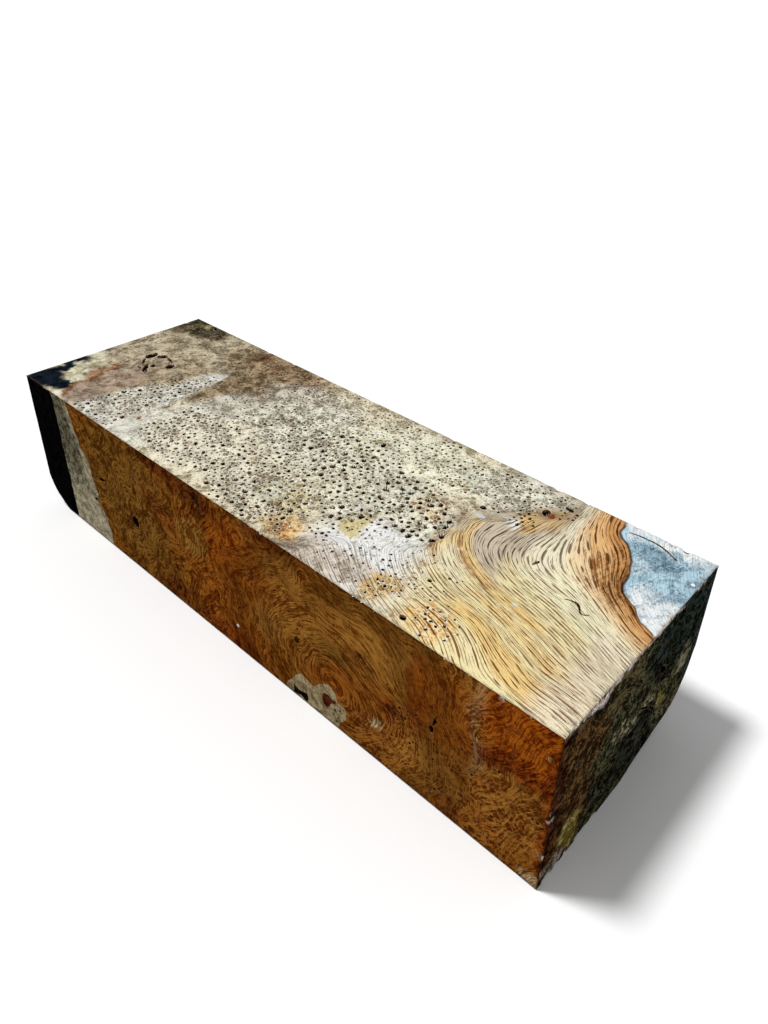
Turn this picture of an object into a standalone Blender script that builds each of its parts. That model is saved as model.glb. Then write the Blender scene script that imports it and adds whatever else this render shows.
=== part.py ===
"""A sawn block of amboyna burl, lying on its flat sawn face.

Metres, +Z up. X runs along the block, from the dark bark end to the end grain.
Y runs from the front face to the back. The origin is on the resting face, under
the middle of the block's box. Places on the faces are given in millimetres:
x from the bark end, with v from the back edge on top, w down from the top edge
on the front, and u from the front edge with w on the end grain.
"""

import math
import random

import bmesh
import bpy
from mathutils import Matrix, Vector, noise

MM = 0.001

# Sawn block
LENGTH = 130.0 * MM
WIDTH = 42.4 * MM
HEIGHT = 30.8 * MM
SAWN_EDGE = 0.35 * MM
OVERRUN = 4.0 * MM

# Natural edge under the back, seen on the end grain as (y, z) of its section
BACK_WANE = ((22.6, 19.0), (21.0, 14.4), (19.6, 8.4), (16.6, 4.3), (11.0, 2.9), (5.0, 1.6), (-1.5, -0.9))
BACK_WANE_AT_BARK_END = 0.62
BACK_WANE_BUMP = 0.75 * MM
BACK_WANE_STATIONS = 40

# Natural edge under the bark end, as (x, z) of its section from that end
BARK_WANE = ((-1.2, 10.2), (0.15, 6.0), (1.8, 2.9), (4.6, 0.9), (9.0, -0.9))
BARK_WANE_BUMP = 0.18 * MM
BARK_WANE_STATIONS = 14

CURVE_STEPS = 3
BUMP_PITCH = 6.5 * MM

# Burl eyes on the top: open pores, a little larger than life
EYE_COUNT = 290
EYE_RADIUS = (0.34 * MM, 0.62 * MM)
EYE_DEPTH = (0.55 * MM, 1.0 * MM)
EYE_SIDES = 6
EYE_CLEARANCE = 1.35
EYE_TRIES = 9000
EYE_PROUD = 0.5 * MM

# Where the eyes lie on the top (x, v): a field, its crowded heart, and a pale wedge beside a crack
FIELD_SPAN = (33.0, 96.0)
FIELD_EDGE = 9.0
FIELD_EDGE_SLOPE = 0.05
FIELD_CHANCE = 0.5
STRAY_CHANCE = 0.08
HEART = (78.0, 22.0)
HEART_SPREAD = (22.0, 9.0)
PALE_CORNER = (78.0, 30.0)
PALE_CORNER_CHANCE = 0.35
WEDGE_APEX = (28.0, 13.0)
WEDGE_SLOPE = 0.34
WEDGE_RIGHT = 29.4
WEDGE_CHANCE = 0.8
EYE_BOUNDS = ((17.0, 99.0), (3.0, 40.6))

# Longer openings: (face, x or u, v or w, length, width, turn in degrees, depth)
VOIDS = (
    ("top", 10.1, 19.3, 3.6, 1.9, 72, 1.2),
    ("top", 17.1, 19.2, 1.7, 1.4, 10, 1.0),
    ("top", 14.4, 23.2, 3.9, 1.3, -48, 1.0),
    ("top", 71.0, 10.6, 1.5, 0.9, 65, 0.9),
    ("top", 95.7, 13.1, 1.2, 0.9, 0, 0.8),
    ("top", 104.0, 6.9, 2.3, 1.6, 15, 1.3),
    ("top", 106.2, 3.7, 1.7, 0.7, 12, 0.8),
    ("top", 103.1, 40.6, 1.0, 0.9, 0, 1.1),
    ("front", 24.3, 14.5, 2.8, 0.9, 22, 0.8),
    ("front", 22.2, 21.7, 1.8, 1.0, -30, 0.8),
    ("front", 35.9, 18.9, 2.2, 2.9, 8, 1.2),
    ("front", 58.0, 2.7, 2.3, 1.1, 40, 0.8),
    ("front", 82.6, 29.0, 3.0, 1.2, 4, 1.0),
    ("front", 89.4, 26.2, 2.8, 1.1, 60, 0.8),
    ("front", 110.5, 13.8, 2.8, 0.7, 80, 0.9),
    ("end", 29.0, 11.5, 3.4, 1.1, -38, 0.9),
    ("end", 28.0, 17.6, 2.6, 0.8, -42, 0.8),
    ("end", 31.0, 24.6, 3.0, 1.0, -50, 0.8),
    ("end", 17.5, 20.8, 2.4, 0.8, -35, 0.7),
    ("end", 36.5, 18.6, 2.0, 0.8, -20, 0.7),
)

# Drying cracks: (face, width, depth, points along it)
CRACKS = (
    ("top", 0.55, 1.0, ((30.0, 14.0), (30.9, 18.5), (30.5, 24.0), (31.1, 30.5), (30.7, 40.6))),
    ("top", 0.40, 0.6, ((11.6, 25.6), (10.2, 29.0), (10.9, 33.0), (12.6, 38.0), (13.4, 40.8))),
    ("top", 0.40, 0.6, ((116.6, 2.6), (119.3, 1.7), (122.6, 2.7))),
    ("front", 0.35, 0.5, ((107.0, 22.0), (108.2, 25.0), (107.6, 28.0))),
    ("end", 0.40, 0.7, ((24.4, 17.0), (27.6, 20.4), (29.4, 23.8))),
)

# Grain that fans out over the top from a node, as shallow grooves (x, v)
FAN_NODE = (96.0, 19.5)
FAN_LINES = 11
FAN_ANGLES = (2.0, 50.0)
FAN_REACH = (7.0, 33.0)
FAN_WAVE = (1.3, 25.0)

# Grain that curls round an eye on the front, as shallow arcs (x, w)
SWIRL_CENTRE = (90.0, 21.7)
SWIRL_RADII = (5.0, 7.0, 9.0, 11.0, 13.2, 15.4)
SWIRL_ANGLES = (-165.0, -12.0)

GROOVE_PROUD = 0.4
GROOVE_WIDTH = 0.34
GROOVE_DEPTH = 0.26
GROOVE_POINTS = 8
GROOVE_STEPS = 2

# Chips torn out of the edges by the saw: (edge, from, to, count, largest size)
CHIPS = (
    ("top right", 1.0, 41.0, 13, 0.55),
    ("right front", 1.0, 29.5, 6, 0.45),
    ("right bottom", 1.0, 20.0, 6, 0.90),
    ("top front", 2.0, 128.0, 16, 0.32),
    ("top back", 100.0, 129.0, 6, 0.50),
)
CHIP_STRETCH = 1.7
VOID_RAGGEDNESS = 0.22

WOOD_COLOUR = (0.30, 0.135, 0.045, 1.0)
WOOD_ROUGHNESS = 0.55

rng = random.Random(1907)


def clear_scene():
    """Removes what is in the scene, so that only the block is left."""
    for obj in list(bpy.data.objects):
        bpy.data.objects.remove(obj, do_unlink=True)


def new_collection(name):
    """A collection linked to the scene."""
    collection = bpy.data.collections.new(name)
    bpy.context.scene.collection.children.link(collection)
    return collection


def object_from(bm, name, collection):
    """Puts a bmesh into a new object, with its faces turned outwards."""
    bmesh.ops.recalc_face_normals(bm, faces=bm.faces)
    mesh = bpy.data.meshes.new(name)
    bm.to_mesh(mesh)
    bm.free()
    obj = bpy.data.objects.new(name, mesh)
    collection.objects.link(obj)
    return obj


def face_frame(face):
    """The matrix from a face's own plane to the block: X and Y along the face, Z out of it."""
    half_length = LENGTH / 2
    half_width = WIDTH / 2
    if face == "top":
        columns = (Vector((1, 0, 0)), Vector((0, -1, 0)), Vector((0, 0, 1)))
        corner = Vector((-half_length, half_width, HEIGHT))
    elif face == "front":
        columns = (Vector((1, 0, 0)), Vector((0, 0, -1)), Vector((0, -1, 0)))
        corner = Vector((-half_length, -half_width, HEIGHT))
    else:
        columns = (Vector((0, 1, 0)), Vector((0, 0, -1)), Vector((1, 0, 0)))
        corner = Vector((half_length, -half_width, HEIGHT))
    matrix = Matrix.Identity(4)
    for axis, column in enumerate(columns):
        matrix.col[axis][:3] = column
    matrix.col[3][:3] = corner
    return matrix


def smooth_curve(points, steps):
    """Points along a Catmull-Rom curve through the given (a, b) pairs."""
    ends = [points[0], *points, points[-1]]
    curve = []
    for index in range(1, len(ends) - 2):
        before, start, end, after = (Vector(p) for p in ends[index - 1 : index + 3])
        for step in range(steps):
            t = step / steps
            bend = (2 * before - 5 * start + 4 * end - after) * t * t
            twist = (3 * start - before - 3 * end + after) * t**3
            curve.append((2 * start + (end - before) * t + bend + twist) / 2)
    curve.append(Vector(points[-1]))
    return curve


def bump_height(place, amount):
    """How far a natural surface stands out at a place: broad swells with small knuckles."""
    swell = noise.noise(place / BUMP_PITCH)
    knuckle = noise.noise(place / (BUMP_PITCH * 0.42) + Vector((7.3, 1.9, 4.1)))
    return amount * (swell + 0.5 * knuckle)


def sweep_wane(name, sections, corners, amount, collection):
    """A cutter whose inner side is a natural surface, from one section to the next."""
    bm = bmesh.new()
    rings = []
    for inner, outer in zip(sections, corners, strict=True):
        ring = []
        for place in inner:
            shift = bump_height(place, amount)
            away = (place - outer[1]).normalized()
            ring.append(bm.verts.new(place + away * shift))
        ring.extend(bm.verts.new(place) for place in outer)
        rings.append(ring)
    for ring, following in zip(rings, rings[1:]):
        count = len(ring)
        for side in range(count):
            beyond = (side + 1) % count
            bm.faces.new((ring[side], ring[beyond], following[beyond], following[side]))
    bm.faces.new(reversed(rings[0]))
    bm.faces.new(rings[-1])
    bm.normal_update()
    bmesh.ops.triangulate(bm, faces=bm.faces)
    return object_from(bm, name, collection)


def back_wane_cutter(collection):
    """Takes off the back's lower edge, deepest at the end grain."""
    sections = []
    corners = []
    for station in range(BACK_WANE_STATIONS + 1):
        t = station / BACK_WANE_STATIONS
        x = -LENGTH / 2 - OVERRUN + t * (LENGTH + 2 * OVERRUN)
        size = BACK_WANE_AT_BARK_END + (1 - BACK_WANE_AT_BARK_END) * t**1.4
        inner = []
        for y, z in smooth_curve(BACK_WANE, CURVE_STEPS):
            side = WIDTH / 2 + (y * MM - WIDTH / 2) * size
            inner.append(Vector((x, side, z * MM * size)))
        far = WIDTH / 2 + OVERRUN
        low = -OVERRUN
        sections.append(inner)
        corners.append((Vector((x, inner[-1].y, low)), Vector((x, far, low)), Vector((x, far, inner[0].z))))
    return sweep_wane("back_wane_cutter", sections, corners, BACK_WANE_BUMP, collection)


def bark_wane_cutter(collection):
    """Rounds the lower edge of the bark end."""
    sections = []
    corners = []
    for station in range(BARK_WANE_STATIONS + 1):
        t = station / BARK_WANE_STATIONS
        y = -WIDTH / 2 - OVERRUN + t * (WIDTH + 2 * OVERRUN)
        left = -LENGTH / 2
        inner = [Vector((left + x * MM, y, z * MM)) for x, z in smooth_curve(BARK_WANE, CURVE_STEPS)]
        far = left - OVERRUN
        low = -OVERRUN
        sections.append(inner)
        corners.append((Vector((inner[-1].x, y, low)), Vector((far, y, low)), Vector((far, y, inner[0].z))))
    return sweep_wane("bark_wane_cutter", sections, corners, BARK_WANE_BUMP, collection)


def eye_chance(x, v):
    """How likely a burl eye is at a place on top, from 0 to 1."""
    if x < FIELD_SPAN[0]:
        wedge_left = WEDGE_APEX[0] - (v - WEDGE_APEX[1]) * WEDGE_SLOPE
        return WEDGE_CHANCE if wedge_left + 0.8 < x < WEDGE_RIGHT and v > WEDGE_APEX[1] + 3 else 0.0
    far_x = (x - HEART[0]) / HEART_SPREAD[0]
    far_v = (v - HEART[1]) / HEART_SPREAD[1]
    in_field = x < FIELD_SPAN[1] and v > FIELD_EDGE + FIELD_EDGE_SLOPE * (x - FIELD_SPAN[0])
    chance = math.exp(-(far_x**2) - far_v**2) + (FIELD_CHANCE if in_field else STRAY_CHANCE)
    if x > PALE_CORNER[0] and v > PALE_CORNER[1]:
        chance *= PALE_CORNER_CHANCE
    return min(1.0, chance)


def eye_places():
    """Seeded places and sizes of the burl eyes, clear of each other and of the larger openings."""
    taken = [(x, v, (length + width) / 3) for face, x, v, length, width, _, _ in VOIDS if face == "top"]
    for face, width, _, points in CRACKS:
        if face == "top":
            taken.extend((x, v, width + 1.0) for x, v in smooth_curve(points, 6))
    eyes = []
    for _ in range(EYE_TRIES):
        if len(eyes) == EYE_COUNT:
            break
        x = rng.uniform(*EYE_BOUNDS[0])
        v = rng.uniform(*EYE_BOUNDS[1])
        radius = rng.uniform(*EYE_RADIUS) / MM
        if rng.random() > eye_chance(x, v):
            continue
        if any(math.hypot(x - a, v - b) < EYE_CLEARANCE * (radius + r) for a, b, r in taken):
            continue
        taken.append((x, v, radius))
        eyes.append((x, v, radius))
    return eyes


def eye_cutters(collection):
    """Small pointed openings, one for each burl eye."""
    bm = bmesh.new()
    frame = face_frame("top")
    for x, v, radius in eye_places():
        depth = rng.uniform(*EYE_DEPTH)
        spread = radius * MM * (1 + EYE_PROUD / depth)
        turn = Matrix.Rotation(rng.uniform(0, math.tau), 4, "Z")
        squeeze = Matrix.Diagonal((1.0, rng.uniform(0.78, 1.0), 1.0, 1.0))
        lift = Matrix.Translation((x * MM, v * MM, (EYE_PROUD - depth) / 2))
        bmesh.ops.create_cone(
            bm,
            cap_ends=True,
            segments=EYE_SIDES,
            radius1=0.0,
            radius2=spread,
            depth=depth + EYE_PROUD,
            matrix=frame @ lift @ turn @ squeeze,
        )
    return object_from(bm, "eye_cutters", collection)


def void_cutters(collection):
    """Rounded openings that are longer than they are wide."""
    bm = bmesh.new()
    for face, a, b, length, width, turn, depth in VOIDS:
        place = Matrix.Translation((a * MM, b * MM, 0))
        turned = Matrix.Rotation(math.radians(turn), 4, "Z")
        size = Matrix.Diagonal((length * MM / 2, width * MM / 2, depth * MM, 1.0))
        made = bmesh.ops.create_icosphere(bm, subdivisions=2, radius=1.0)
        for vert in made["verts"]:
            ragged = 1 + VOID_RAGGEDNESS * noise.noise(vert.co * 1.7 + Vector((a, b, 0)))
            vert.co = face_frame(face) @ place @ turned @ size @ (vert.co * ragged)
    return object_from(bm, "void_cutters", collection)


def groove_cutter(bm, face, width, depth, points, steps):
    """A groove with a V section that narrows at both ends."""
    frame = face_frame(face)
    curve = smooth_curve(points, steps)
    rings = []
    for index, place in enumerate(curve):
        opening = 0.22 + 0.78 * math.sin(math.pi * index / (len(curve) - 1)) ** 0.6
        along = (curve[min(index + 1, len(curve) - 1)] - curve[max(index - 1, 0)]).normalized()
        across = Vector((-along.y, along.x)) * width * opening / 2
        low = -depth * opening
        section = ((1, GROOVE_PROUD), (-1, GROOVE_PROUD), (-1, 0.0), (0, low), (1, 0.0))
        ring = []
        for side, height in section:
            spot = place + across * side
            ring.append(bm.verts.new(frame @ (Vector((spot.x, spot.y, height)) * MM)))
        rings.append(ring)
    for ring, following in zip(rings, rings[1:]):
        for side in range(len(section)):
            beyond = (side + 1) % len(section)
            bm.faces.new((ring[side], ring[beyond], following[beyond], following[side]))
    bm.faces.new(reversed(rings[0]))
    bm.faces.new(rings[-1])


def crack_cutters(collection):
    """All the drying cracks."""
    bm = bmesh.new()
    for face, width, depth, points in CRACKS:
        groove_cutter(bm, face, width, depth, points, CURVE_STEPS)
    bm.normal_update()
    bmesh.ops.triangulate(bm, faces=bm.faces)
    return object_from(bm, "crack_cutters", collection)


def fan_points(line):
    """One waved line of the fan, from near the node to the block's edge."""
    share = line / (FAN_LINES - 1)
    angle = math.radians(FAN_ANGLES[0] + share * (FAN_ANGLES[1] - FAN_ANGLES[0]))
    height, pitch = FAN_WAVE
    points = []
    for index in range(GROOVE_POINTS):
        reach = FAN_REACH[0] + index / (GROOVE_POINTS - 1) * (FAN_REACH[1] - FAN_REACH[0])
        wave = height * math.sin(math.tau * reach / pitch + share)
        x = FAN_NODE[0] + reach * math.cos(angle) - wave * math.sin(angle)
        v = FAN_NODE[1] + reach * math.sin(angle) + wave * math.cos(angle)
        points.append((x, v))
    return [(x, v) for x, v in points if x < LENGTH / MM - 1.0 and v < WIDTH / MM - 1.0]


def swirl_points(radius):
    """One arc of the curled grain."""
    points = []
    for index in range(GROOVE_POINTS):
        share = index / (GROOVE_POINTS - 1)
        angle = math.radians(SWIRL_ANGLES[0] + share * (SWIRL_ANGLES[1] - SWIRL_ANGLES[0]))
        stretch = 1 + 0.06 * math.sin(3 * angle + radius)
        x = SWIRL_CENTRE[0] + radius * stretch * math.cos(angle)
        w = SWIRL_CENTRE[1] + radius * stretch * math.sin(angle)
        points.append((x, w))
    return points


def grain_cutters(collection):
    """The grooves of the fanned grain on top and of the curled grain on the front."""
    bm = bmesh.new()
    for line in range(FAN_LINES):
        groove_cutter(bm, "top", GROOVE_WIDTH, GROOVE_DEPTH, fan_points(line), GROOVE_STEPS)
    for radius in SWIRL_RADII:
        groove_cutter(bm, "front", GROOVE_WIDTH, GROOVE_DEPTH, swirl_points(radius), GROOVE_STEPS)
    bm.normal_update()
    bmesh.ops.triangulate(bm, faces=bm.faces)
    return object_from(bm, "grain_cutters", collection)


def edge_line(edge):
    """The start and the direction of a sawn edge."""
    left, right = -LENGTH / 2, LENGTH / 2
    front, back = -WIDTH / 2, WIDTH / 2
    lines = {
        "top right": (Vector((right, front, HEIGHT)), Vector((0, 1, 0))),
        "right front": (Vector((right, front, 0)), Vector((0, 0, 1))),
        "right bottom": (Vector((right, front, 0)), Vector((0, 1, 0))),
        "top front": (Vector((left, front, HEIGHT)), Vector((1, 0, 0))),
        "top back": (Vector((left, back, HEIGHT)), Vector((1, 0, 0))),
    }
    return lines[edge]


def chip_cutters(collection):
    """Small bites out of the sawn edges, spaced so that no two meet."""
    bm = bmesh.new()
    for edge, start, end, count, largest in CHIPS:
        corner, along = edge_line(edge)
        pitch = (end - start) / count
        for index in range(count):
            size = rng.uniform(0.45, 1.0) * largest
            station = start + pitch * (index + rng.uniform(0.3, 0.7))
            centre = corner + along * station * MM
            stretch = Vector((1, 1, 1)) + Vector(along) * (CHIP_STRETCH - 1)
            turn = Matrix.Rotation(rng.uniform(0, math.tau), 3, Vector((0.6, 0.5, 0.62)))
            made = bmesh.ops.create_icosphere(bm, subdivisions=1, radius=size * MM)
            for vert in made["verts"]:
                vert.co = centre + (turn @ vert.co) * stretch
    return object_from(bm, "chip_cutters", collection)


def wood_material():
    """Sawn burl: red-brown, with a low sheen."""
    material = bpy.data.materials.new("burl_wood")
    material.use_nodes = True
    shader = material.node_tree.nodes["Principled BSDF"]
    shader.inputs["Base Color"].default_value = WOOD_COLOUR
    shader.inputs["Roughness"].default_value = WOOD_ROUGHNESS
    shader.inputs["Metallic"].default_value = 0.0
    material.diffuse_color = WOOD_COLOUR
    return material


def cut(block, cutter):
    """Takes the cutter's shape out of the block."""
    modifier = block.modifiers.new(cutter.name, "BOOLEAN")
    modifier.operation = "DIFFERENCE"
    modifier.object = cutter
    cutter.hide_render = True
    cutter.display_type = "WIRE"


def make_block(collection, cutters):
    """The sawn block, with its natural edges, eyes, openings, cracks and chips."""
    bm = bmesh.new()
    size = Matrix.Diagonal((LENGTH, WIDTH, HEIGHT, 1.0))
    bmesh.ops.create_cube(bm, size=1.0, matrix=Matrix.Translation((0, 0, HEIGHT / 2)) @ size)
    block = object_from(bm, "burl_block", collection)
    block.data.materials.append(wood_material())
    bevel = block.modifiers.new("sawn_edges", "BEVEL")
    bevel.width = SAWN_EDGE
    bevel.segments = 2
    bevel.limit_method = "ANGLE"
    for cutter in cutters:
        cut(block, cutter)
    return block


def main():
    clear_scene()
    parts = new_collection("amboyna_burl")
    cutters = new_collection("cutters")
    cutters.hide_render = True
    shapes = (
        back_wane_cutter(cutters),
        bark_wane_cutter(cutters),
        chip_cutters(cutters),
        crack_cutters(cutters),
        grain_cutters(cutters),
        void_cutters(cutters),
        eye_cutters(cutters),
    )
    make_block(parts, shapes)


main()
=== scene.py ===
"""The looks of a sawn block of amboyna burl.

The block's skin is one closed mesh, made face by face in millimetres and laid on the
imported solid. Each face holds its burl eyes, openings, cracks and edge chips as real
pits, and carries its tones and the run of its grain as attributes that the wood
finishes read. A place on a face is (a, b) in millimetres: on the top, the front, the
back and the underside a runs along the block from the bark end, on the end grain and
the bark end it runs from the front edge. On the top and the underside b runs from the
back edge, and on the upright faces it runs down from the top edge.
"""

import math
import random

import bpy
import numpy as np
from mathutils import Matrix, Vector, geometry, kdtree, noise
from mathutils.bvhtree import BVHTree


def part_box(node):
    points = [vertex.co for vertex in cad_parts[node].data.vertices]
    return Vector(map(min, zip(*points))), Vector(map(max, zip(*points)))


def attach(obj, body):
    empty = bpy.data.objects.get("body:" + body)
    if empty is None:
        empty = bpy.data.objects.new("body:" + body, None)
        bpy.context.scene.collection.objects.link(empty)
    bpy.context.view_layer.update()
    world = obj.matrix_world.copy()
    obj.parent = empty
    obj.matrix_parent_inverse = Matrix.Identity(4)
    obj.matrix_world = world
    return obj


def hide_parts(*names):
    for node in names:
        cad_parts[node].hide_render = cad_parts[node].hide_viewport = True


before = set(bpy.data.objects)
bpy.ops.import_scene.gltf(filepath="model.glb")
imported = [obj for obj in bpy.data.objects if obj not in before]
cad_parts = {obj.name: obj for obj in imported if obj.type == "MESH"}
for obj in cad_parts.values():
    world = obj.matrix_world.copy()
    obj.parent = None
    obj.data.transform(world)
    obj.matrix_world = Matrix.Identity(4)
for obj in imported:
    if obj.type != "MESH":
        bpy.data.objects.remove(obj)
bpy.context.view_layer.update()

MM = 0.001
NODE = "burl_block"
LOW, HIGH = (np.array(corner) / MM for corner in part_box(NODE))
SIDES = HIGH - LOW
rng = random.Random(41)

# The six faces: corner that (a, b) starts from, the way of a, the way of b, the way out
FACES = {
    "top": ((LOW[0], HIGH[1], HIGH[2]), (1, 0, 0), (0, -1, 0), (0, 0, 1)),
    "front": ((LOW[0], LOW[1], HIGH[2]), (1, 0, 0), (0, 0, -1), (0, -1, 0)),
    "end": ((HIGH[0], LOW[1], HIGH[2]), (0, 1, 0), (0, 0, -1), (1, 0, 0)),
    "back": ((LOW[0], HIGH[1], HIGH[2]), (1, 0, 0), (0, 0, -1), (0, 1, 0)),
    "bark": ((LOW[0], LOW[1], HIGH[2]), (0, 1, 0), (0, 0, -1), (-1, 0, 0)),
    "under": ((LOW[0], HIGH[1], LOW[2]), (1, 0, 0), (0, -1, 0), (0, 0, -1)),
}
FLAT_FACES = ("top", "front", "end")

# Mesh of the skin, in mm
EDGE_STEP = 0.5
EDGE_INSET = 0.3
EDGE_SINK = 0.12
SKIN_SINK = 0.05
BOX_CLEARANCE = 0.004
GRID_STEP = {"top": 0.86, "front": 0.86, "end": 0.72, "back": 1.1, "bark": 0.9, "under": 1.25}
GRID_JITTER = 0.27
ROW_SHARE = 0.87
CLEAR_OF_RINGS = 0.36
MERGE_NEARER = 1e-4
SLIVER = 1e-7

# Where each face lies on the square sheet that its colours are kept on: place and scale
SHEET_SIDE = 149.0
SHEET_PLACES = {
    "top": (1.0, 1.0, 1.0), "front": (1.0, 45.0, 1.0), "under": (1.0, 77.4, 0.8),
    "back": (1.0, 112.6, 0.8), "end": (106.2, 77.4, 1.0), "bark": (106.2, 109.6, 1.0),
}

# The natural edges are seated on the solid from these places inside it
SEAT_X = -54.0
SEAT_Y = 1.0
SEAT_Z = 17.0
SEAT_NUDGE = (1.4, 0.6)
NATURAL_DEPTH = 0.35

# Curves, outlines and soft borders


def smooth_line(points, steps):
    """Places along a smooth curve through the given ones."""
    knots = np.array([points[0], *points, points[-1]], float)
    line = []
    for before, start, end, after in zip(knots, knots[1:], knots[2:], knots[3:]):
        for t in np.arange(steps) / steps:
            bend = (2 * before - 5 * start + 4 * end - after) * t * t
            twist = (3 * start - before - 3 * end + after) * t**3
            line.append((2 * start + (end - before) * t + bend + twist) / 2)
    line.append(knots[-1])
    return np.array(line)


def even_line(points, step):
    """The same line with its places an even step apart."""
    line = smooth_line(points, 8)
    runs = np.concatenate(([0.0], np.cumsum(np.linalg.norm(np.diff(line, axis=0), axis=1))))
    stations = np.linspace(0, runs[-1], max(2, round(runs[-1] / step)) + 1)
    return np.stack([np.interp(stations, runs, line[:, axis]) for axis in (0, 1)], axis=1)


def sideways(line):
    """Unit steps to the side of a line at each of its places."""
    along = np.gradient(line, axis=0)
    along /= np.linalg.norm(along, axis=1)[:, None] + 1e-9
    return np.stack([-along[:, 1], along[:, 0]], axis=1)


def distance_to_line(places, line):
    """How far each place lies from an open line."""
    nearest = np.full(len(places), np.inf)
    for start, end in zip(line, line[1:]):
        along = end - start
        share = np.clip((places - start) @ along / max(along @ along, 1e-9), 0, 1)
        gap = places - start - share[:, None] * along
        nearest = np.minimum(nearest, np.hypot(gap[:, 0], gap[:, 1]))
    return nearest


def inside_outline(places, outline):
    """Whether each place lies inside a closed outline."""
    inside = np.zeros(len(places), bool)
    x, y = places[:, 0], places[:, 1]
    for (ax, ay), (bx, by) in zip(outline, np.roll(outline, -1, axis=0)):
        if ay != by:
            crosses = (ay > y) != (by > y)
            inside ^= crosses & (x < (bx - ax) * (y - ay) / (by - ay) + ax)
    return inside


def depth_inside(places, outline):
    """How far each place lies inside a closed outline, and below nought outside it."""
    closed = np.vstack([outline, outline[:1]])
    return distance_to_line(places, closed) * np.where(inside_outline(places, outline), 1, -1)


def oval_reach(places, a, b, half_a, half_b, turn):
    """How far each place lies from an oval's middle: 1 on its outline."""
    c, s = math.cos(math.radians(turn)), math.sin(math.radians(turn))
    p, q = (places - (a, b)).T
    return np.hypot((p * c + q * s) / half_a, (q * c - p * s) / half_b)


def ease(value, low, high):
    """Goes softly from 0 to 1 as a value goes from low to high."""
    t = np.clip((value - low) / (high - low), 0, 1)
    return t * t * (3 - 2 * t)


def ripples(places, pitch, seed):
    """Smooth noise from -1 to 1 over a face, with features a pitch apart."""
    return np.array([noise.noise(Vector((a / pitch, b / pitch, seed))) for a, b in places])


# Tones of the wood, light and dark, as they look under the lamps. They hold painted light: the top's tones are its pale
# wood made paler with painted sheen, and the tones of the front and the end, which the back, the underside and the bark
# end reuse, are their browns made darker with painted shade.
TONES = {
    "tan": ((216, 201, 172), (98, 84, 58)), "olive": ((168, 152, 108), (34, 26, 6)),
    "brown": ((192, 169, 134), (80, 60, 32)), "red_brown": ((180, 142, 108), (78, 46, 22)),
    "mauve": ((196, 174, 154), (104, 84, 64)), "charcoal": ((30, 38, 48), (1, 3, 8)),
    # The near-white tones that end this line and the next, and the plain white further down, are painted glare: the
    # top's sheen put into its colour
    "butter": ((255, 250, 222), (172, 154, 100)), "glare_white": ((249, 246, 236), (150, 140, 120)),
    "cream": ((238, 227, 198), (142, 126, 96)), "glare_haze": ((241, 240, 228), (150, 141, 120)),
    "pore_grey": ((249, 242, 220), (110, 96, 72)), "pore_brown": ((247, 234, 208), (106, 80, 52)),
    "cream_yellow": ((252, 246, 216), (156, 136, 94)), "cream_gold": ((255, 237, 199), (190, 142, 90)),
    "gold": ((255, 228, 176), (178, 116, 60)), "honey": ((250, 206, 132), (160, 90, 34)),
    "orange": ((230, 184, 126), (118, 66, 26)), "white": ((252, 251, 240), (180, 170, 148)),
    "pink_grey": ((230, 218, 202), (140, 122, 104)), "grey": ((202, 187, 164), (92, 74, 52)),
    "knot": ((164, 84, 42), (84, 34, 12)), "rust": ((178, 124, 82), (92, 46, 22)),
    "rust_dark": ((120, 84, 58), (48, 24, 12)), "rose": ((253, 230, 204), (178, 130, 98)),
    "strip_pale": ((240, 204, 156), (150, 104, 64)), "strip_dark": ((196, 138, 80), (86, 44, 12)),
    "comma": ((84, 36, 18), (32, 8, 4)), "chip_white": ((252, 250, 246), (226, 222, 214)),
    "end_chip": ((244, 238, 232), (150, 130, 122)), "ochre": ((228, 190, 124), (128, 88, 42)),
    # The blue tones are pale wood with a painted reflection of the sky on it
    "olive_gold": ((214, 196, 132), (120, 100, 48)), "blue": ((184, 214, 228), (84, 112, 128)),
    "blue_dark": ((130, 160, 176), (42, 64, 76)), "pale_blue": ((240, 248, 250), (150, 176, 188)),
    "soot": ((40, 28, 20), (8, 5, 3)), "front_olive": ((118, 81, 31), (58, 30, 4)),
    "front_brown": ((128, 79, 25), (66, 26, 1)), "front_light": ((154, 107, 44), (84, 40, 4)),
    "front_dark": ((96, 46, 13), (32, 6, 1)), "front_orange": ((144, 74, 13), (80, 24, 1)),
    "front_red": ((114, 46, 9), (48, 9, 0)), "front_tan": ((138, 99, 44), (82, 46, 9)),
    "front_pale": ((190, 168, 128), (100, 74, 40)), "black": ((9, 9, 9), (1, 1, 1)),
    "sap_top": ((108, 102, 84), (38, 33, 22)), "sap_mid": ((140, 134, 112), (58, 54, 36)),
    "sap_low": ((166, 158, 134), (108, 98, 78)), "inclusion": ((160, 148, 116), (92, 74, 48)),
    "end_red": ((64, 30, 16), (18, 2, 0)), "end_brown": ((88, 62, 34), (26, 13, 3)),
    "end_olive": ((74, 72, 50), (10, 10, 4)), "teal": ((36, 45, 41), (2, 6, 5)),
    "end_black": ((40, 42, 36), (1, 2, 1)), "end_pale": ((134, 128, 104), (44, 40, 24)),
    "end_yellow": ((150, 138, 84), (80, 66, 24)), "end_white": ((150, 142, 128), (60, 50, 38)),
    "bark_dark": ((70, 56, 42), (18, 12, 8)), "bark_brown": ((104, 80, 54), (38, 24, 14)),
}
TONE_NAMES = list(TONES)

# How strongly the lamps light each face: divides the looks above into a colour for each face, which still holds the
# painted sheen of the top and the painted shade of the front and the end
FACE_LIGHT = {"top": 1.04, "front": 0.82, "end": 0.64, "back": 0.82, "bark": 0.8, "under": 0.82}

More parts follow.
